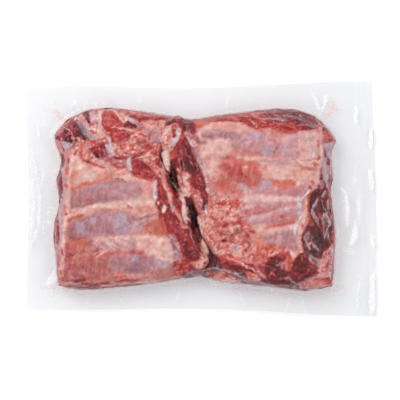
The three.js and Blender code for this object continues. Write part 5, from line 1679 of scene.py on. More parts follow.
@dataclass
class RibSlab(SidedPiece):
    """One slab of ribs, which rounds over at each of its sides within its own run."""

    runs: tuple[float, float, float, float] = (10.0, 5.0, 8.0, 12.0)
    waist: float = 6.9
    film_gap: float = 0.8
    under_gap: float = 0.55
    shake: float = 0.8
    wall_top: float = 11.0
    wall_fade: float = 5.0

    def over(self, x: np.ndarray, y: np.ndarray, runs: tuple[float, ...]) -> np.ndarray:
        """How far the slab has rounded over: 0 at its outline and 1 inside all the shoulders."""
        total = np.ones(np.shape(x))
        for side, run in zip(self.sides, runs):
            total = total * quarter_round(side.distance(x, y) / run)
        return total

    def crown(self, x: np.ndarray, y: np.ndarray, rise: np.ndarray) -> np.ndarray:
        """The upper side away from the edges: the form's, with lumps and the painted relief."""
        lumps = 0.35 * layered_noise(x, y, 11.0, 21) + 0.14 * layered_noise(x, y, 2.6, 24, 2)
        return FORM.crown(x, y) - self.film_gap + lumps + rise

    def top_at(self, x: np.ndarray, y: np.ndarray, rise: np.ndarray) -> np.ndarray:
        """The slab's height, rounded over at its sides."""
        height = lerp(self.waist, self.crown(x, y, rise), self.over(x, y, self.runs))
        return np.where(inside_outline(self.outline(), x, y), height, -np.inf)

    def make(self) -> bpy.types.Object:
        """Builds the slab on a grid between its four sides, shaken a little so that none runs straight."""
        x, y = self.grid((0.8, 0.8), (0.7, 0.8))
        x, y = x + self.shake * layered_noise(x, y, 8.0, 27), y + self.shake * layered_noise(x, y, 8.0, 28)
        paint = painted(x, y, Tone.PEACH, MEAT_MARKS, Seed.MEAT)
        high = lerp(self.waist, self.crown(x, y, paint.rise.reshape(x.shape)), self.over(x, y, self.runs))
        lumps = 0.4 + 0.4 * layered_noise(x, y, 16.0, 51)
        rounded = self.over(x, y, (FORM.underside_shoulder,) * 4)
        low = lerp(self.waist, self.under_gap + lumps, rounded)
        wall = 1.0 - smooth((high - self.wall_top) / self.wall_fade)
        return self.finish(x, y, high, low, paint, wall)


@dataclass
class FoldedFlap(SidedPiece):
    """The flap of fat and lean that is folded over the top of a slab."""

    cells: tuple[int, int] = (190, 90)
    left: Curve = Curve(((-97, 43), (-106, 51), (-113, 63)))
    right: Curve = Curve(((-37, 36), (-34, 45), (-43, 57), (-57, 67)))
    bottom: Curve = Curve(((-97, 43), (-88, 36), (-73, 35), (-52, 33), (-37, 36)))
    top: Curve = Curve(((-113, 63), (-99, 70.5), (-78, 72.5), (-57, 67)))
    slab: RibSlab = None
    rise: float = 2.9
    run: float = 6.0
    sink: float = 1.6
    edge_sink: float = 0.4

    def height(self, x: np.ndarray, y: np.ndarray, rise: np.ndarray) -> np.ndarray:
        """The slab's height with the flap's own thickness, which rounds over at its edge."""
        slab = self.slab
        edge = np.minimum.reduce([side.distance(x, y) for side in self.sides])
        folds = 0.5 * layered_noise(x, y, 9.0, 71)
        base = slab.over(x, y, slab.runs) * (FORM.crown(x, y) - slab.film_gap - slab.waist)
        thickness = (self.rise + folds + rise) * quarter_round(edge / self.run)
        return slab.waist + base + thickness - self.edge_sink

    def top_at(self, x: np.ndarray, y: np.ndarray, rise: np.ndarray) -> np.ndarray:
        """The flap's height inside its outline."""
        return np.where(inside_outline(self.outline(), x, y), self.height(x, y, rise), -np.inf)

    def make(self) -> bpy.types.Object:
        """Builds the flap on a grid between its four sides, with its underside sunk into the slab."""
        x, y = self.grid((0.5, 0.5), (0.5, 0.5))
        paint = painted(x, y, Tone.PEACH, MEAT_MARKS, Seed.MEAT)
        high = self.height(x, y, paint.rise.reshape(x.shape))
        low = np.minimum(high, self.height(x, y, np.zeros_like(x)) - self.rise) - self.sink
        return self.finish(x, y, high, low, paint)


@dataclass
class MeatStrip(MeatPiece):
    """A strip of muscle, fat or tendon along a curve.

    Each point of the route has x, y, the strip's half width and the height of its widest level.
    """

    route: tuple[tuple[float, float, float, float], ...] = ()
    rise: float = 2.5
    depth: float = 2.0
    cells: tuple[int, int] = (30, 120)
    fullness: float = 0.5

    def profile(self, across: np.ndarray) -> np.ndarray:
        """The strip's height across it, from -1 to 1: one less the square, to the power of its fullness."""
        return np.clip(1.0 - across**2, 0.0, 1.0) ** self.fullness

    def width_at(self, along: np.ndarray) -> np.ndarray:
        """The share of the half width along the strip, which closes to a rounded point at both ends."""
        return 0.03 + 0.97 * np.sqrt(np.clip(1.0 - np.abs(2.0 * along - 1.0) ** 7, 0.0, 1.0))

    def top_at(self, x: np.ndarray, y: np.ndarray, rise: np.ndarray) -> np.ndarray:
        """The height of the strip where it lies."""
        line = Curve(self.route).line
        distance, where = line_distance(line, x, y)
        count = np.arange(len(line))
        half = np.interp(where, count, line[:, 2]) * self.width_at(where / (len(line) - 1))
        height = np.interp(where, count, line[:, 3]) + (self.rise + rise) * self.profile(distance / half)
        return np.where(distance < half, height, -np.inf)

    def make(self) -> bpy.types.Object:
        """Builds the strip: its section, widened along the route, with a rounded upper and lower side."""
        columns, rows = self.cells
        along = np.linspace(0.0, 1.0, rows + 1)
        line = Curve(self.route).at(along)
        heading = np.gradient(line[:, :2], axis=0)
        heading /= np.linalg.norm(heading, axis=1)[:, None]
        across = np.sin(np.linspace(-math.pi / 2, math.pi / 2, columns + 1))
        uneven = noise(along[:, None] * 9.0, np.sign(across)[None, :] * 3.0, 1.0, 81)
        edge = 1.0 + 0.1 * uneven * np.abs(across)
        offset = (line[:, 2] * self.width_at(along))[:, None] * across[None, :] * edge
        x = line[:, 0][:, None] + heading[:, 1][:, None] * offset
        y = line[:, 1][:, None] - heading[:, 0][:, None] * offset
        paint = painted(x, y, Tone.CRIMSON, MEAT_MARKS, Seed.MEAT)
        level = line[:, 3][:, None] + 0.2 * layered_noise(x, y, 3.0, 83)
        closing = self.width_at(along)[:, None] * self.profile(across)[None, :]
        high = level + (self.rise + paint.rise.reshape(x.shape)) * closing
        return self.finish(x, y, high, level - self.depth * closing, paint)


@dataclass
class BagFilm:
    """The clear bag: an upper sheet drawn tight over the meat, and a lower sheet beneath it."""

    name: str = "bag_film"
    cells: tuple[int, int] = (272, 178)
    gap: float = 0.3
    draw: float = 1.0
    sheet_gap: float = 0.25
    under_gap: float = 0.15
    passes: int = 7
    crease: float = 0.22
    gather: float = 0.5
    gather_reach: float = 6.0
    ripple: float = 0.3
    # The border film's grey, made darker towards the right as painted shade.
    smoke_and_shade: tuple[float, float] = (0.014, 0.026)
    seal_smoke: float = 0.016
    seal_width: float = 17.0
    # Painted light: a white coat on the border next to the meat that lightens the shadow there, fading over
    # its reach.
    shadow_lift: float = 0.3
    shadow_lift_reach: float = 7.0
    resting_loose: float = 0.1

    @cached_property
    def place(self) -> tuple[np.ndarray, np.ndarray]:
        """The two coordinates of the sheet's crossings between the bag's four edges."""
        columns, rows = self.cells
        grid = patch(*FORM.edges, np.linspace(0, 1, columns + 1), np.linspace(0, 1, rows + 1))
        return grid[..., 0], grid[..., 1]

    @cached_property
    def side_distances(self) -> tuple[np.ndarray, ...]:
        """The distance from each crossing to each of the meat's four sides."""
        return FORM.side_distances(*self.place)

    @cached_property
    def beside(self) -> tuple[np.ndarray, np.ndarray]:
        """The distance from each crossing to the meat's outline, and how far round that lies."""
        away, around = line_distance(FORM.outline(), *self.place)
        return away, around * FORM.outline_length() / len(FORM.outline())

    @cached_property
    def over_meat(self) -> np.ndarray:
        """Which crossings lie over the meat."""
        return inside_outline(FORM.outline(), *self.place)

    @cached_property
    def outward(self) -> np.ndarray:
        """How far out across the border each crossing lies, and 0 over the meat.

        It is the distance to the meat over the sum of the distances to the meat and the bag's edge.
        """
        to_meat = np.minimum.reduce(self.side_distances)
        edges = [edge.at(np.linspace(0, 1, 40)) for edge in FORM.edges]
        to_edge = np.minimum.reduce([line_distance(edge, *self.place)[0] for edge in edges])
        return np.where(self.over_meat, 0.0, to_meat / np.maximum(to_meat + to_edge, 1e-6))

    def rounded(self, runs: tuple[float, ...]) -> np.ndarray:
        """How far the sheet has rounded over: 0 at the meat's outline and 1 inside all four runs."""
        return np.prod([quarter_round(d / run) for d, run in zip(self.side_distances, runs)], axis=0)

    def draped(self, pieces: list[MeatPiece]) -> np.ndarray:
        """Drapes the upper sheet over the pieces.

        The sheet starts as the form's own surface, raised wherever a piece stands higher. Each pass
        then moves every point halfway to its four neighbours' mean, and lifts it clear of the meat.

        Args:
            pieces: What the film is drawn over.

        Returns:
            The sheet's heights.
        """
        x, y = self.place
        rise = painted(x, y, Tone.PEACH, MEAT_MARKS, Seed.MEAT).rise.reshape(x.shape)
        meat = np.maximum.reduce([piece.top_at(x, y, rise) for piece in pieces]) + self.gap
        top = FORM.crown(x, y) - FORM.dip(x, y) - self.draw
        drawn = lerp(FORM.seam_height, top, self.rounded(FORM.shoulders))
        high = np.maximum(np.where(self.over_meat, drawn, FORM.border_height(x, y, self.outward)), meat)
        inner = high[1:-1, 1:-1]
        for _ in range(self.passes):
            mean = (high[2:, 1:-1] + high[:-2, 1:-1] + high[1:-1, 2:] + high[1:-1, :-2]) / 4
            inner[:] = np.maximum(lerp(inner, mean, 0.5), meat[1:-1, 1:-1])
        return high

    def relief(self, slope: np.ndarray, stretch: np.ndarray) -> np.ndarray:
        """What stands out of the draped sheet.

        Creases lie where the sheet slopes, gathers run outwards from the meat's outline, and the
        border ripples. All of it fades towards the bag's edge.

        Args:
            slope: How steep the sheet is.
            stretch: The painted relief.

        Returns:
            The heights to add.
        """
        x, y = self.place
        away, around = self.beside
        creased = np.where(self.over_meat, 0.35 + smooth(slope), 0.25 * (1.0 - self.outward) ** 2)
        wrinkles = self.crease * creased * (ridged(x, y * 1.6, 9.0, 91) + ridged(x * 1.5, y, 5.0, 95) - 0.8)
        gathers = ridged(around, away * 0.25, 5.5, 99) + 0.7 * ridged(around, away * 0.3, 2.6, 103)
        wrinkles = wrinkles + self.gather * np.exp(-((away / self.gather_reach) ** 2)) * (gathers - 0.6)
        fade = smooth((1.0 - self.outward) * 8.0)
        ripple = self.ripple * layered_noise(x, y, 42.0, 97) * ~self.over_meat * fade
        return (wrinkles + stretch + ripple) * fade

    def make(self, pieces: list[MeatPiece]) -> bpy.types.Object:
        """Drapes the upper sheet over the pieces, and lays the lower sheet under them.

        Args:
            pieces: What the film is drawn over.

        Returns:
            The new object.
        """
        x, y = self.place
        haze_glare_and_shade = painted(x, y, Tone.VEIL_AND_GLARE, FILM_HAZE_GLARE_AND_SHADE, Seed.HAZE_GLARE_AND_SHADE, 0.5)
        pleats_and_highlights = painted(x, y, Tone.WHITE, BORDER_PLEAT_HIGHLIGHTS, Seed.PLEAT_HIGHLIGHTS, 1.0)
        high = self.draped(pieces)
        slope = np.hypot(*np.gradient(high)) / (FORM.bag_length / self.cells[0])
        high = high + self.relief(slope, (haze_glare_and_shade.rise + pleats_and_highlights.rise).reshape(x.shape))
        under = self.rounded((FORM.underside_shoulder,) * 4)
        low = lerp(FORM.seam_height - self.sheet_gap, self.under_gap, under)
        low = np.where(self.over_meat, low, high - self.sheet_gap)
        high[[0, -1]] -= self.sheet_gap / 2
        high[:, [0, -1]] -= self.sheet_gap / 2
        film = make_object(self.name, *closed_shell(np.dstack([x, y, high]), np.dstack([x, y, low])))
        self.write_looks(film, slope, haze_glare_and_shade, pleats_and_highlights)
        return film

    def write_looks(self, film: bpy.types.Object, slope: np.ndarray, haze_glare_and_shade: Paint, pleats_and_highlights: Paint) -> None:
        """Writes the values that the film's material reads.

        Args:
            film: The film's object.
            slope: How steep the upper sheet is.
            haze_glare_and_shade: Where the film is milky or carries painted glare, highlights or shadow, and
                its colour there.
            pleats_and_highlights: Where the border is pleated, and the painted highlights on its pleats.
        """
        x, y = self.place
        inner = (slice(1, -1), slice(1, -1))

        def both(upper: np.ndarray, share: float) -> np.ndarray:
            """The upper sheet's values, with a share of them on the lower sheet."""
            return np.concatenate([upper, share * upper.reshape(x.shape)[inner].ravel()])

        away = self.beside[0].ravel()
        outside = np.where(self.over_meat.ravel(), 0.0, 1.0)
        from_right = FORM.right_edge_distance(x, y).ravel()
        sealed = smooth((self.seal_width - from_right) / 4.0) * outside
        stripes = layered_noise(from_right, y.ravel() / 24.0, 2.4, 107, 2)
        # The film's grey over the border, darker towards the right as painted shade, with the seal's
        # stripes.
        towards_right = smooth(x.ravel() / (FORM.bag_length / 2))
        smoke_and_shade = (lerp(*self.smoke_and_shade, towards_right) + self.seal_smoke * stripes * sealed) * outside
        # The border's white: painted highlights on the pleats, and painted light that lifts the shadow next
        # to the meat.
        white = np.maximum(pleats_and_highlights.cover * outside, self.shadow_lift * np.exp(-away / self.shadow_lift_reach) * outside)
        loose = np.where(self.over_meat, 0.12 + smooth(slope * 1.4), self.resting_loose).ravel()
        juice = painted(x, y, Tone.JUICE, FILM_JUICE, Seed.JUICE, 1.6).cover
        lower_tint = np.tile(np.array(Tone.WHITE.value, dtype=float), (len(film.data.vertices) - x.size, 1))
        write_colour(film, "haze_glare_and_shade_colour", linear(np.vstack([haze_glare_and_shade.colour, lower_tint])))
        write_value(film, "haze_glare_and_shade", both(haze_glare_and_shade.cover, 0.0))
        write_value(film, "pleats_and_highlights", both(white, 0.0))
        write_value(film, "smoke_and_shade", both(smoke_and_shade, 1.0))
        write_value(film, "loose", both(np.minimum(loose + haze_glare_and_shade.cover, 1.0), 0.1))
        write_value(film, "juice", both(juice * lerp(0.3, 1.0, outside), 0.0))


@dataclass(frozen=True)
class Wiring:
    """Places nodes in a tree and joins them."""

    tree: bpy.types.NodeTree

    def node(self, kind: str, inputs: dict | None = None, **settings: object) -> bpy.types.Node:
        """Adds a node.

        Args:
            kind: Blender's name for the node type.
            inputs: For each input's name or number, a value or the output that feeds it.
            **settings: The node's own properties.

        Returns:
            The new node.
        """
        made = self.tree.nodes.new(kind)
        for name, value in settings.items():
            setattr(made, name, value)
        for socket, value in (inputs or {}).items():
            if isinstance(value, bpy.types.NodeSocket):
                self.tree.links.new(value, made.inputs[socket])
            else:
                made.inputs[socket].default_value = value
        return made

    def sum(self, operation: str, *values: object, clamp: bool = False) -> bpy.types.NodeSocket:
        """The result of a Math node."""
        inputs = dict(enumerate(values))
        return self.node("ShaderNodeMath", inputs, operation=operation, use_clamp=clamp).outputs[0]

    def blend(self, factor: object, a: object, b: object, how: str = "MIX") -> bpy.types.NodeSocket:
        """The result of a Mix node on two colours."""
        mix = self.node("ShaderNodeMix", {0: factor, 6: a, 7: b}, data_type="RGBA", blend_type=how)
        return mix.outputs[2]

    def cloud(
        self, place: object, scale: object, detail: float, roughness: float = 0.5
    ) -> bpy.types.NodeSocket:
        """The value of a noise texture."""
        inputs = {"Vector": place, "Scale": scale, "Detail": detail, "Roughness": roughness}
        return self.node("ShaderNodeTexNoise", inputs).outputs["Fac"]

    def attribute(self, name: str, output: str = "Fac") -> bpy.types.NodeSocket:
        """The piece's own painted value of this name, or its "Color"."""
        return self.node("ShaderNodeAttribute", attribute_name=name).outputs[output]

    def surface(self, colour: object, roughness: object, more: dict | None = None) -> bpy.types.NodeSocket:
        """A Principled shader."""
        inputs = {"Base Color": colour, "Roughness": roughness, **(more or {})}
        return self.node("ShaderNodeBsdfPrincipled", inputs).outputs[0]

    def cover(self, share: object, below: object, above: object) -> bpy.types.NodeSocket:
        """One shader laid over another by a share."""
        return self.node("ShaderNodeMixShader", {0: share, 1: below, 2: above}).outputs[0]


def new_material(name: str) -> tuple[bpy.types.Material, Wiring]:
    """Makes an empty material, and the wiring of its tree."""
    material = bpy.data.materials.new(name)
    material.use_nodes = True
    material.node_tree.nodes.clear()
    return material, Wiring(material.node_tree)


def new_group(name: str, inputs: dict[str, tuple[str, object]], outputs: dict[str, str]) -> tuple:
    """Makes an empty node group.

    Args:
        name: The group's name.
        inputs: Each input's name, with its socket type and default.
        outputs: Each output's name, with its socket type.

    Returns:
        The group, its wiring, its input sockets inside, and the node that takes its outputs.
    """
    group = bpy.data.node_groups.new(name, "ShaderNodeTree")
    for socket, (kind, default) in inputs.items():
        made = group.interface.new_socket(socket, in_out="INPUT", socket_type=kind)
        if default is not None:
            made.default_value = default
    for socket, kind in outputs.items():
        group.interface.new_socket(socket, in_out="OUTPUT", socket_type=kind)
    wiring = Wiring(group)
    return group, wiring, wiring.node("NodeGroupInput").outputs, wiring.node("NodeGroupOutput")


def make_wisp_group() -> bpy.types.NodeTree:
    """A group that draws thin, wandering lines: where a distorted noise crosses its middle value.

    The mask is one less the noise's distance from its middle over the width, and never below zero.
    """
    group, w, given, out = new_group(
        "thin_wisps",
        {
            "Place": ("NodeSocketVector", None),
            "Scale": ("NodeSocketFloat", 250.0),
            "Width": ("NodeSocketFloat", 0.04),
        },
        {"Mask": "NodeSocketFloat"},
    )
    wander = {"Detail": 3.0, "Roughness": 0.6, "Distortion": 1.2}
    cloud = w.node("ShaderNodeTexNoise", {"Vector": given["Place"], "Scale": given["Scale"], **wander})
    off = w.sum("ABSOLUTE", w.sum("SUBTRACT", cloud.outputs["Fac"], 0.5))
    line = w.sum("SUBTRACT", 1.0, w.sum("DIVIDE", off, given["Width"]), clamp=True)
    w.tree.links.new(line, out.inputs["Mask"])
    return group


def make_mottle_group(wisps: bpy.types.NodeTree) -> bpy.types.NodeTree:
    """A group that breaks a painted colour up into flecks, pale wisps and red streaks.

    A coarse and a fine noise are added, and lighten or darken the colour around its own value by
    the strength. A broad cloud makes some places redder. The wisps blend the pale colour in, and the
    streaks blend in the colour times the blood colour. Where the tissue is dark, both turn into a
    lighter marbling.

    Args:
        wisps: The group that draws thin lines.

    Returns:
        The group.
    """
    group, w, given, out = new_group(
        "flecked_tissue",
        {
            "Place": ("NodeSocketVector", None),
            "Colour": ("NodeSocketColor", (0.5, 0.2, 0.2, 1.0)),
            "Fineness": ("NodeSocketFloat", 700.0),
            "Strength": ("NodeSocketFloat", 0.3),
            "Pale": ("NodeSocketColor", (0.78, 0.5, 0.44, 1.0)),
            "Blood": ("NodeSocketColor", (0.72, 0.36, 0.34, 1.0)),
            "Wisps": ("NodeSocketFloat", 0.3),
            "Streaks": ("NodeSocketFloat", 0.35),
        },
        {"Colour": "NodeSocketColor", "Height": "NodeSocketFloat", "Dryness": "NodeSocketFloat"},
    )
    drawn_out = {"Vector": given["Place"], "Scale": (0.62, 1.0, 1.0)}
    place = w.node("ShaderNodeMapping", drawn_out).outputs[0]
    moved = {"Vector": given["Place"], "Location": (3.0, 5.0, 1.0), "Scale": (0.8, 1.0, 1.0)}
    aside = w.node("ShaderNodeMapping", moved).outputs[0]

    fine = w.cloud(place, w.sum("MULTIPLY", given["Fineness"], 3.3), 2.0)
    both = w.sum("ADD", w.cloud(place, given["Fineness"], 4.0, 0.6), w.sum("MULTIPLY", fine, 0.6))
    centred = w.sum("SUBTRACT", both, 0.8)
    gain = w.sum("ADD", w.sum("MULTIPLY", centred, given["Strength"]), 1.0)
    grey = w.node("ShaderNodeCombineColor", {0: gain, 1: gain, 2: gain}).outputs[0]
    flecked = w.blend(1.0, given["Colour"], grey, "MULTIPLY")
    flush = w.sum("MULTIPLY_ADD", w.cloud(aside, 140.0, 5.0, 0.65), 5.0, -2.1, clamp=True)
    redder = w.blend(1.0, flecked, given["Blood"], "MULTIPLY")
    flecked = w.blend(w.sum("MULTIPLY", flush, 0.34), flecked, redder)

    green = w.node("ShaderNodeSeparateColor", {0: given["Colour"]}).outputs[1]
    paleness = w.sum("MULTIPLY", green, 5.0, clamp=True)
    lighter = w.blend(1.0, given["Colour"], (1.7, 1.8, 1.8, 1.0), "MULTIPLY")
    marbled = w.blend(1.0, lighter, (0.05, 0.012, 0.014, 1.0), "ADD")
    kinds = (("Pale", "Wisps", place, 330.0, 0.035), ("Blood", "Streaks", aside, 240.0, 0.03))
    for kind, strength, at, scale, width in kinds:
        lines = w.node("ShaderNodeGroup", node_tree=wisps)
        w.tree.links.new(at, lines.inputs["Place"])
        lines.inputs["Scale"].default_value = scale
        lines.inputs["Width"].default_value = width
        tint = given[kind] if kind == "Pale" else w.blend(1.0, flecked, given[kind], "MULTIPLY")
        shown = w.sum("MULTIPLY", lines.outputs["Mask"], given[strength])
        flecked = w.blend(shown, flecked, w.blend(paleness, marbled, tint))
    w.tree.links.new(flecked, out.inputs["Colour"])
    w.tree.links.new(both, out.inputs["Height"])
    w.tree.links.new(w.sum("MULTIPLY_ADD", centred, 1.5, 0.5, clamp=True), out.inputs["Dryness"])
    return group


@dataclass(frozen=True)
class MeatFinish:
    """Wet raw meat: the painted tissue, flecked, under a thin coat of juice."""

    name: str
    mottle: bpy.types.NodeTree
    strength: float = 0.35
    fineness: float = 650.0
    roughness: tuple[float, float] = (0.3, 0.55)
    bump: float = 0.5
    bump_depth: float = 0.0008
    shine: float = 0.08

    def make(self) -> bpy.types.Material:
        """Builds the material. Flecks drive the colour, the roughness and a fine bump."""
        material, w = new_material(self.name)
        flecks = w.node("ShaderNodeGroup", node_tree=self.mottle)
        w.tree.links.new(w.node("ShaderNodeTexCoord").outputs["Object"], flecks.inputs["Place"])
        w.tree.links.new(w.attribute("tissue", "Color"), flecks.inputs["Colour"])
        flecks.inputs["Fineness"].default_value = self.fineness
        flecks.inputs["Strength"].default_value = self.strength
        low, high = self.roughness
        rough = w.sum("MULTIPLY_ADD", flecks.outputs["Dryness"], high - low, low)
        relief = {"Strength": self.bump, "Distance": self.bump_depth, "Height": flecks.outputs["Height"]}
        normal = w.node("ShaderNodeBump", relief).outputs[0]
        gloss = {"Normal": normal, "Specular IOR Level": self.shine}
        meat = w.surface(flecks.outputs["Colour"], rough, gloss)
        w.node("ShaderNodeOutputMaterial", {"Surface": meat})
        return material


@dataclass(frozen=True)
class FilmFinish:
    """Clear film: see-through with a mirror-like sheen, milky where it is stretched, stained by juice, and
    carrying painted glare, highlights and shade.
    """

    name: str = "clear_film"
    clearness: float = 0.985
    cast: tuple[float, float] = (0.002, 0.005)
    grazing_sheen: float = 0.4
    facing_sheen: float = 0.025
    sheen_roughness: float = 0.07
    facets: float = 110.0
    small_facets: float = 2.7
    tilt: float = 0.3
    warp: float = 0.012
    milkiness: float = 0.003

    def facet_normal(self, w: Wiring, place: bpy.types.NodeSocket) -> bpy.types.NodeSocket:
        """The film's small tilted facets, as a bump where it is loose.

        Args:
            w: The wiring of the film's tree.
            place: The point of the object.

        Returns:
            The normal that two cell patterns give, which a noise has warped.
        """
        ripple = w.node("ShaderNodeTexNoise", {"Vector": place, "Scale": 120.0, "Detail": 3.0})
        push = {0: ripple.outputs["Color"], 1: (self.warp,) * 3}
        warp = w.node("ShaderNodeVectorMath", push, operation="MULTIPLY").outputs[0]
        warped = w.node("ShaderNodeVectorMath", {0: place, 1: warp}, operation="ADD").outputs[0]
        large, small = (
            w.node("ShaderNodeTexVoronoi", {"Vector": warped, "Scale": scale}).outputs["Distance"]
            for scale in (self.facets, self.facets * self.small_facets)
        )
        height = w.sum("ADD", large, w.sum("MULTIPLY", small, 0.3))
        relief = {"Strength": w.attribute("loose"), "Distance": self.tilt / self.facets, "Height": height}
        return w.node("ShaderNodeBump", relief).outputs[0]

    def make(self) -> bpy.types.Material:
        """Builds the material.

        The sheen's share is its value facing the viewer, plus the rest by the fifth power of how
        far the surface turns away. The milky share, which also carries painted glare, highlights and shadow,
        the border's white, which is painted highlight and painted light that lifts the shadow by the meat,
        and the juice are painted values.
        """
        material, w = new_material(self.name)
        place = w.node("ShaderNodeTexCoord").outputs["Object"]
        normal = self.facet_normal(w, place)
        passed = w.sum("SUBTRACT", self.clearness, w.attribute("smoke_and_shade"))
        less_red, more_blue = w.sum("SUBTRACT", passed, self.cast[0]), w.sum("ADD", passed, self.cast[1])
        tinted = w.node("ShaderNodeCombineColor", {0: less_red, 1: passed, 2: more_blue}).outputs[0]
        clear = w.node("ShaderNodeBsdfTransparent", {"Color": tinted}).outputs[0]
        mirror = w.surface((1.0, 1.0, 1.0, 1.0), self.sheen_roughness, {"Metallic": 1.0, "Normal": normal})
        facing = w.node("ShaderNodeLayerWeight", {"Blend": 0.5, "Normal": normal}).outputs["Facing"]
        share = w.sum("MULTIPLY_ADD", w.sum("POWER", facing, 5.0), self.grazing_sheen, self.facing_sheen)
        film = w.cover(share, clear, mirror)

        # The milky layer: milky film, with painted glare, highlights and shadow in its colour.
        milk_glare_and_shade = w.surface(w.attribute("haze_glare_and_shade_colour", "Color"), 0.35, {"Normal": normal})
        uneven = w.sum("MULTIPLY_ADD", w.cloud(place, 700.0, 4.0, 0.7), 5.0, -1.7, clamp=True)
        milk_glare_and_shade_share = w.sum("MULTIPLY_ADD", w.attribute("haze_glare_and_shade"), uneven, self.milkiness, clamp=True)
        film = w.cover(milk_glare_and_shade_share, film, milk_glare_and_shade)
        # The border's white layer: painted highlights on the pleats and painted light next to the meat.
        film = w.cover(w.attribute("pleats_and_highlights"), film, w.surface((0.95, 0.95, 0.97, 1.0), 0.4))
        wet = w.surface((*linear(Tone.JUICE.value), 1.0), 0.25, {"Normal": normal})
        film = w.cover(w.attribute("juice"), film, wet)
        w.node("ShaderNodeOutputMaterial", {"Surface": film})
        return material


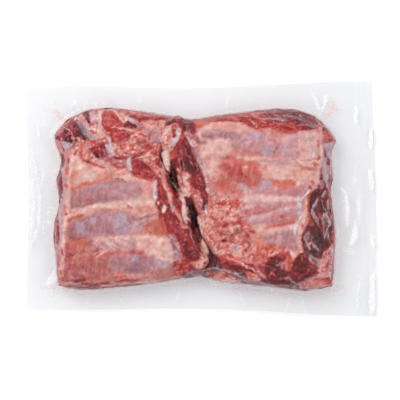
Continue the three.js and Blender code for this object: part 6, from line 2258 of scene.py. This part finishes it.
@dataclass
class RibPack:
    """The whole pack: two slabs, what lies between and on them, and the bag."""

    slab_inset: float = 0.4
    left_foot: tuple[float, float] = (0.5, -65.8)
    left_head: tuple[float, float] = (-20.0, 69.6)
    right_foot: tuple[float, float] = (8.6, -67.2)
    right_head: tuple[float, float] = (-17.5, 68.8)
    left_of_gap: tuple[tuple[float, float], ...] = (
        (6.3, -53.7), (4.6, -43.5), (-1.4, -31.6), (-6.5, -19.7), (-10.7, -7),
        (-19.2, 4.9), (-25.4, 17.7), (-30.6, 33), (-30.4, 45.7), (-26.4, 58.5),
    )
    right_of_gap: tuple[tuple[float, float], ...] = (
        (15.6, -58.8), (13.1, -50.3), (6.3, -43.5), (1.2, -33.3), (-2.2, -19.7), (-3.9, -7.8), (-9, -1),
        (-17.5, 5.8), (-18.4, 16), (-25.2, 26.2), (-31.1, 33), (-32, 45.7), (-26.9, 60.2),
    )

    def slabs(self) -> tuple[RibSlab, RibSlab]:
        """The two slabs, with the gap between them that the photograph shows."""
        d = self.slab_inset
        low_left, high_left, low_right, high_right = (
            (corner[0] + right * d, corner[1] + up * d)
            for corner, right, up in (
                (FORM.bottom_left, 1, 1),
                (FORM.top_left, 1, -1),
                (FORM.bottom_right, -1, 1),
                (FORM.top_right, -1, -1),
            )
        )
        left = RibSlab(
            "slab_left",
            left=moved_side(FORM.outer_left, d, 0, low_left, high_left),
            right=Curve((self.left_foot, *self.left_of_gap, self.left_head)),
            bottom=moved_side(FORM.bottom_of_left, 0, d, low_left, self.left_foot),
            top=moved_side(FORM.top_of_left, 0, -d, high_left, self.left_head),
            runs=(10.0, 5.0, 8.0, 12.0),
            cells=(176, 236),
        )
        right = RibSlab(
            "slab_right",
            left=Curve((self.right_foot, *self.right_of_gap, self.right_head)),
            right=moved_side(FORM.outer_right, -d, 0, low_right, high_right),
            bottom=moved_side(FORM.bottom_of_right, 0, d, self.right_foot, low_right),
            top=moved_side(FORM.top_of_right, 0, -d, self.right_head, high_right),
            runs=(5.0, 20.0, 8.0, 12.0),
            cells=(184, 228),
        )
        return left, right

    def strips(self) -> tuple[MeatStrip, ...]:
        """The muscles, tendons and fat along the gap, each with its route, rise, depth and cells."""
        return (
            MeatStrip("cleft_floor", (
                (-18.4, 71, 8, 12), (-20, 63, 11, 14), (-27, 48, 12, 10), (-26, 25, 13, 9.5),
                (-14, 0, 13, 9.5), (-4, -25, 12, 9.5), (5, -50, 11, 10), (5.4, -60, 10, 13),
                (4.6, -67.6, 9, 11),
            ), 1.6, 4.0, (40, 170)),
            MeatStrip("ridge_muscle", (
                (-36, 13, 3, 23.4), (-34, 4, 5.4, 24), (-31, -8, 7.4, 24.6), (-26, -20, 8.4, 24.8),
                (-17, -33, 8.6, 24.4), (-9, -45, 6.5, 23.5), (-4, -52, 4, 22.4),
            ), 2.9, 4.5, (44, 190)),
            MeatStrip("edge_muscle", (
                (-17, 57, 4.4, 22.5), (-13.5, 45, 6.6, 24), (-9.6, 31, 7.8, 24.6), (-3.4, 16, 7.4, 24.6),
                (2, 3, 5.4, 24.2), (4, -8, 4, 23.6),
            ), 2.6, 4.5, (40, 180)),
            MeatStrip("fat_knob", (
                (-21, 64, 5, 20), (-25, 54, 9, 22.4), (-28.5, 42, 6.6, 22.6), (-30.4, 34, 4.2, 21.6),
            ), 3.4, 6.0, (44, 90)),
            MeatStrip("tendon", (
                (-30, 42, 3, 21.6), (-29.5, 34, 4.4, 21.8), (-28.4, 26, 3.4, 20.4), (-26.6, 20, 1.8, 18),
            ), 2.8, 5.0, (26, 80)),
            MeatStrip("deep_muscle_upper", (
                (-22, 30, 4.4, 14), (-21.4, 16, 3.6, 11.5), (-21, 4, 5, 17), (-18.6, -9, 4.4, 17.5),
            ), 2.4, 5.0, (26, 110)),
            MeatStrip("fatty_bits", (
                (-17, 26, 4, 17), (-13.5, 16, 6, 20.5), (-9.5, 8, 6.8, 21.5), (-3.6, -2, 5, 21),
                (-2, -13, 3, 20),
            ), 2.4, 6.0, (34, 110)),
            MeatStrip("cream_strip_upper", (
                (-16, 6, 3.2, 19.5), (-14.4, -3, 4, 20), (-11.4, -14, 3.8, 20), (-9.6, -22, 2.4, 19),
            ), 2.4, 5.0, (24, 90)),
            MeatStrip("deep_muscle_lower", (
                (-9.6, -19, 3, 16), (-5.4, -30, 4.8, 18), (-1.6, -41, 4.2, 18.4), (0, -47, 2.6, 17.6),
            ), 2.4, 5.0, (26, 90)),
            MeatStrip("cream_strip_middle", (
                (-0.6, -13.6, 2.6, 19.6), (0.6, -23, 3.2, 20.4), (3, -34, 2.2, 19),
            ), 2.2, 5.0, (22, 70)),
            MeatStrip("cream_strip_lower", (
                (1.6, -33, 2, 17.5), (4, -41, 3, 18.6), (5.6, -48, 2.4, 18),
            ), 2.0, 4.0, (22, 60)),
            MeatStrip("fat_patch", (
                (0, -47.5, 4.6, 19.6), (1, -52, 6.6, 20), (-1, -58, 5, 18.6),
            ), 2.6, 5.0, (34, 60)),
        )

    def build(self) -> list[bpy.types.Object]:
        """Makes and dresses every piece, hangs it under the root, and hides the solid that it stands in for.
        """
        mottle = make_mottle_group(make_wisp_group())
        meat = MeatFinish("raw_meat", mottle).make()
        muscle = MeatFinish("wet_muscle", mottle, 0.5, 620.0, (0.22, 0.45), 0.6).make()
        left, right = self.slabs()
        strips = self.strips()
        shapes = [left, right, FoldedFlap("folded_flap", slab=left), *strips]
        made = []
        for shape in shapes:
            piece = shape.make()
            piece.data.materials.append(muscle if shape in strips else meat)
            made.append(piece)
        film = BagFilm().make(shapes)
        film.data.materials.append(FilmFinish().make())
        made.append(film)
        for piece in made:
            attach(piece, "root")
            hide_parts(NODE)
            piece.data.calc_loop_triangles()
            log.info("%s: %d triangles", piece.name, len(piece.data.loop_triangles))
        return made


@dataclass(frozen=True)
class Softbox:
    """A square soft light, hung at a place and turned to the pack."""

    name: str
    place: tuple[float, float, float]
    size: float
    power: float

    def hang(self) -> None:
        """Makes the light and links it to the scene."""
        light = bpy.data.lights.new(self.name, "AREA")
        light.shape = "SQUARE"
        light.size = self.size
        light.energy = self.power
        lamp = bpy.data.objects.new(self.name, light)
        lamp.location = self.place
        lamp.rotation_euler = (Vector((0, 0, 0.01)) - Vector(self.place)).to_track_quat("-Z", "Y").to_euler()
        bpy.context.scene.collection.objects.link(lamp)


@dataclass(frozen=True)
class Studio:
    """A pale floor, soft lights and the camera straight above. Its sizes are in metres."""

    floor_size: float = 8.0
    floor_tones: tuple[tuple[float, ...], ...] = ((0.97, 0.97, 0.975, 1.0), (0.98, 0.98, 0.98, 1.0))
    camera_height: float = 4.0
    focus_height: float = 0.015
    sensor: float = 36.0
    world_light: float = 0.84
    world_tone: tuple[float, ...] = (0.98, 0.99, 1.0, 1.0)
    lights: tuple[Softbox, ...] = (
        Softbox("key", (-0.75, 0.75, 1.15), 0.85, 8.5),
        Softbox("fill", (1.0, -0.2, 1.1), 0.7, 2.0),
    )

    def floor(self) -> None:
        """Lays the floor: one square with a faint unevenness in its pale colour."""
        h = self.floor_size / 2 / MM
        corners = np.array([(-h, -h, 0), (h, -h, 0), (h, h, 0), (-h, h, 0)], dtype=float)
        floor = make_object("floor", corners, np.array([[0, 1, 2, 3]]))
        material, w = new_material("pale_floor")
        cloud = w.node("ShaderNodeTexNoise", {"Scale": 3.0})
        colour = w.blend(cloud.outputs["Fac"], *self.floor_tones)
        w.node("ShaderNodeOutputMaterial", {"Surface": w.surface(colour, 0.9, {"Specular IOR Level": 0.1})})
        floor.data.materials.append(material)

    def camera(self) -> None:
        """Puts the camera above the photograph's centre, with the photograph's width in its frame."""
        x = (PHOTO_SIZE / 2 - PHOTO_ORIGIN[0]) * PIXEL_MM * MM
        y = (PHOTO_ORIGIN[1] - PHOTO_SIZE / 2) * PIXEL_MM * MM
        seen = PHOTO_SIZE * PIXEL_MM * MM
        lens = bpy.data.cameras.new("camera")
        lens.sensor_width = self.sensor
        lens.lens = self.sensor * (self.camera_height - self.focus_height) / seen
        eye = bpy.data.objects.new("camera", lens)
        eye.location = (x, y, self.camera_height)
        bpy.context.scene.collection.objects.link(eye)
        bpy.context.scene.camera = eye

    def build(self) -> None:
        """Sets up the world, the floor, the lights and the camera."""
        world = bpy.data.worlds.new("studio")
        world.use_nodes = True
        background = world.node_tree.nodes["Background"]
        background.inputs["Color"].default_value = self.world_tone
        background.inputs["Strength"].default_value = self.world_light
        bpy.context.scene.world = world
        bpy.context.scene.view_settings.view_transform = "Standard"
        self.floor()
        for light in self.lights:
            light.hang()
        self.camera()


def main() -> None:
    """Builds the studio and the pack."""
    logging.basicConfig(level=logging.INFO, format="%(name)s: %(message)s")
    Studio().build()
    RibPack().build()


if __name__ == "__main__":
    main()
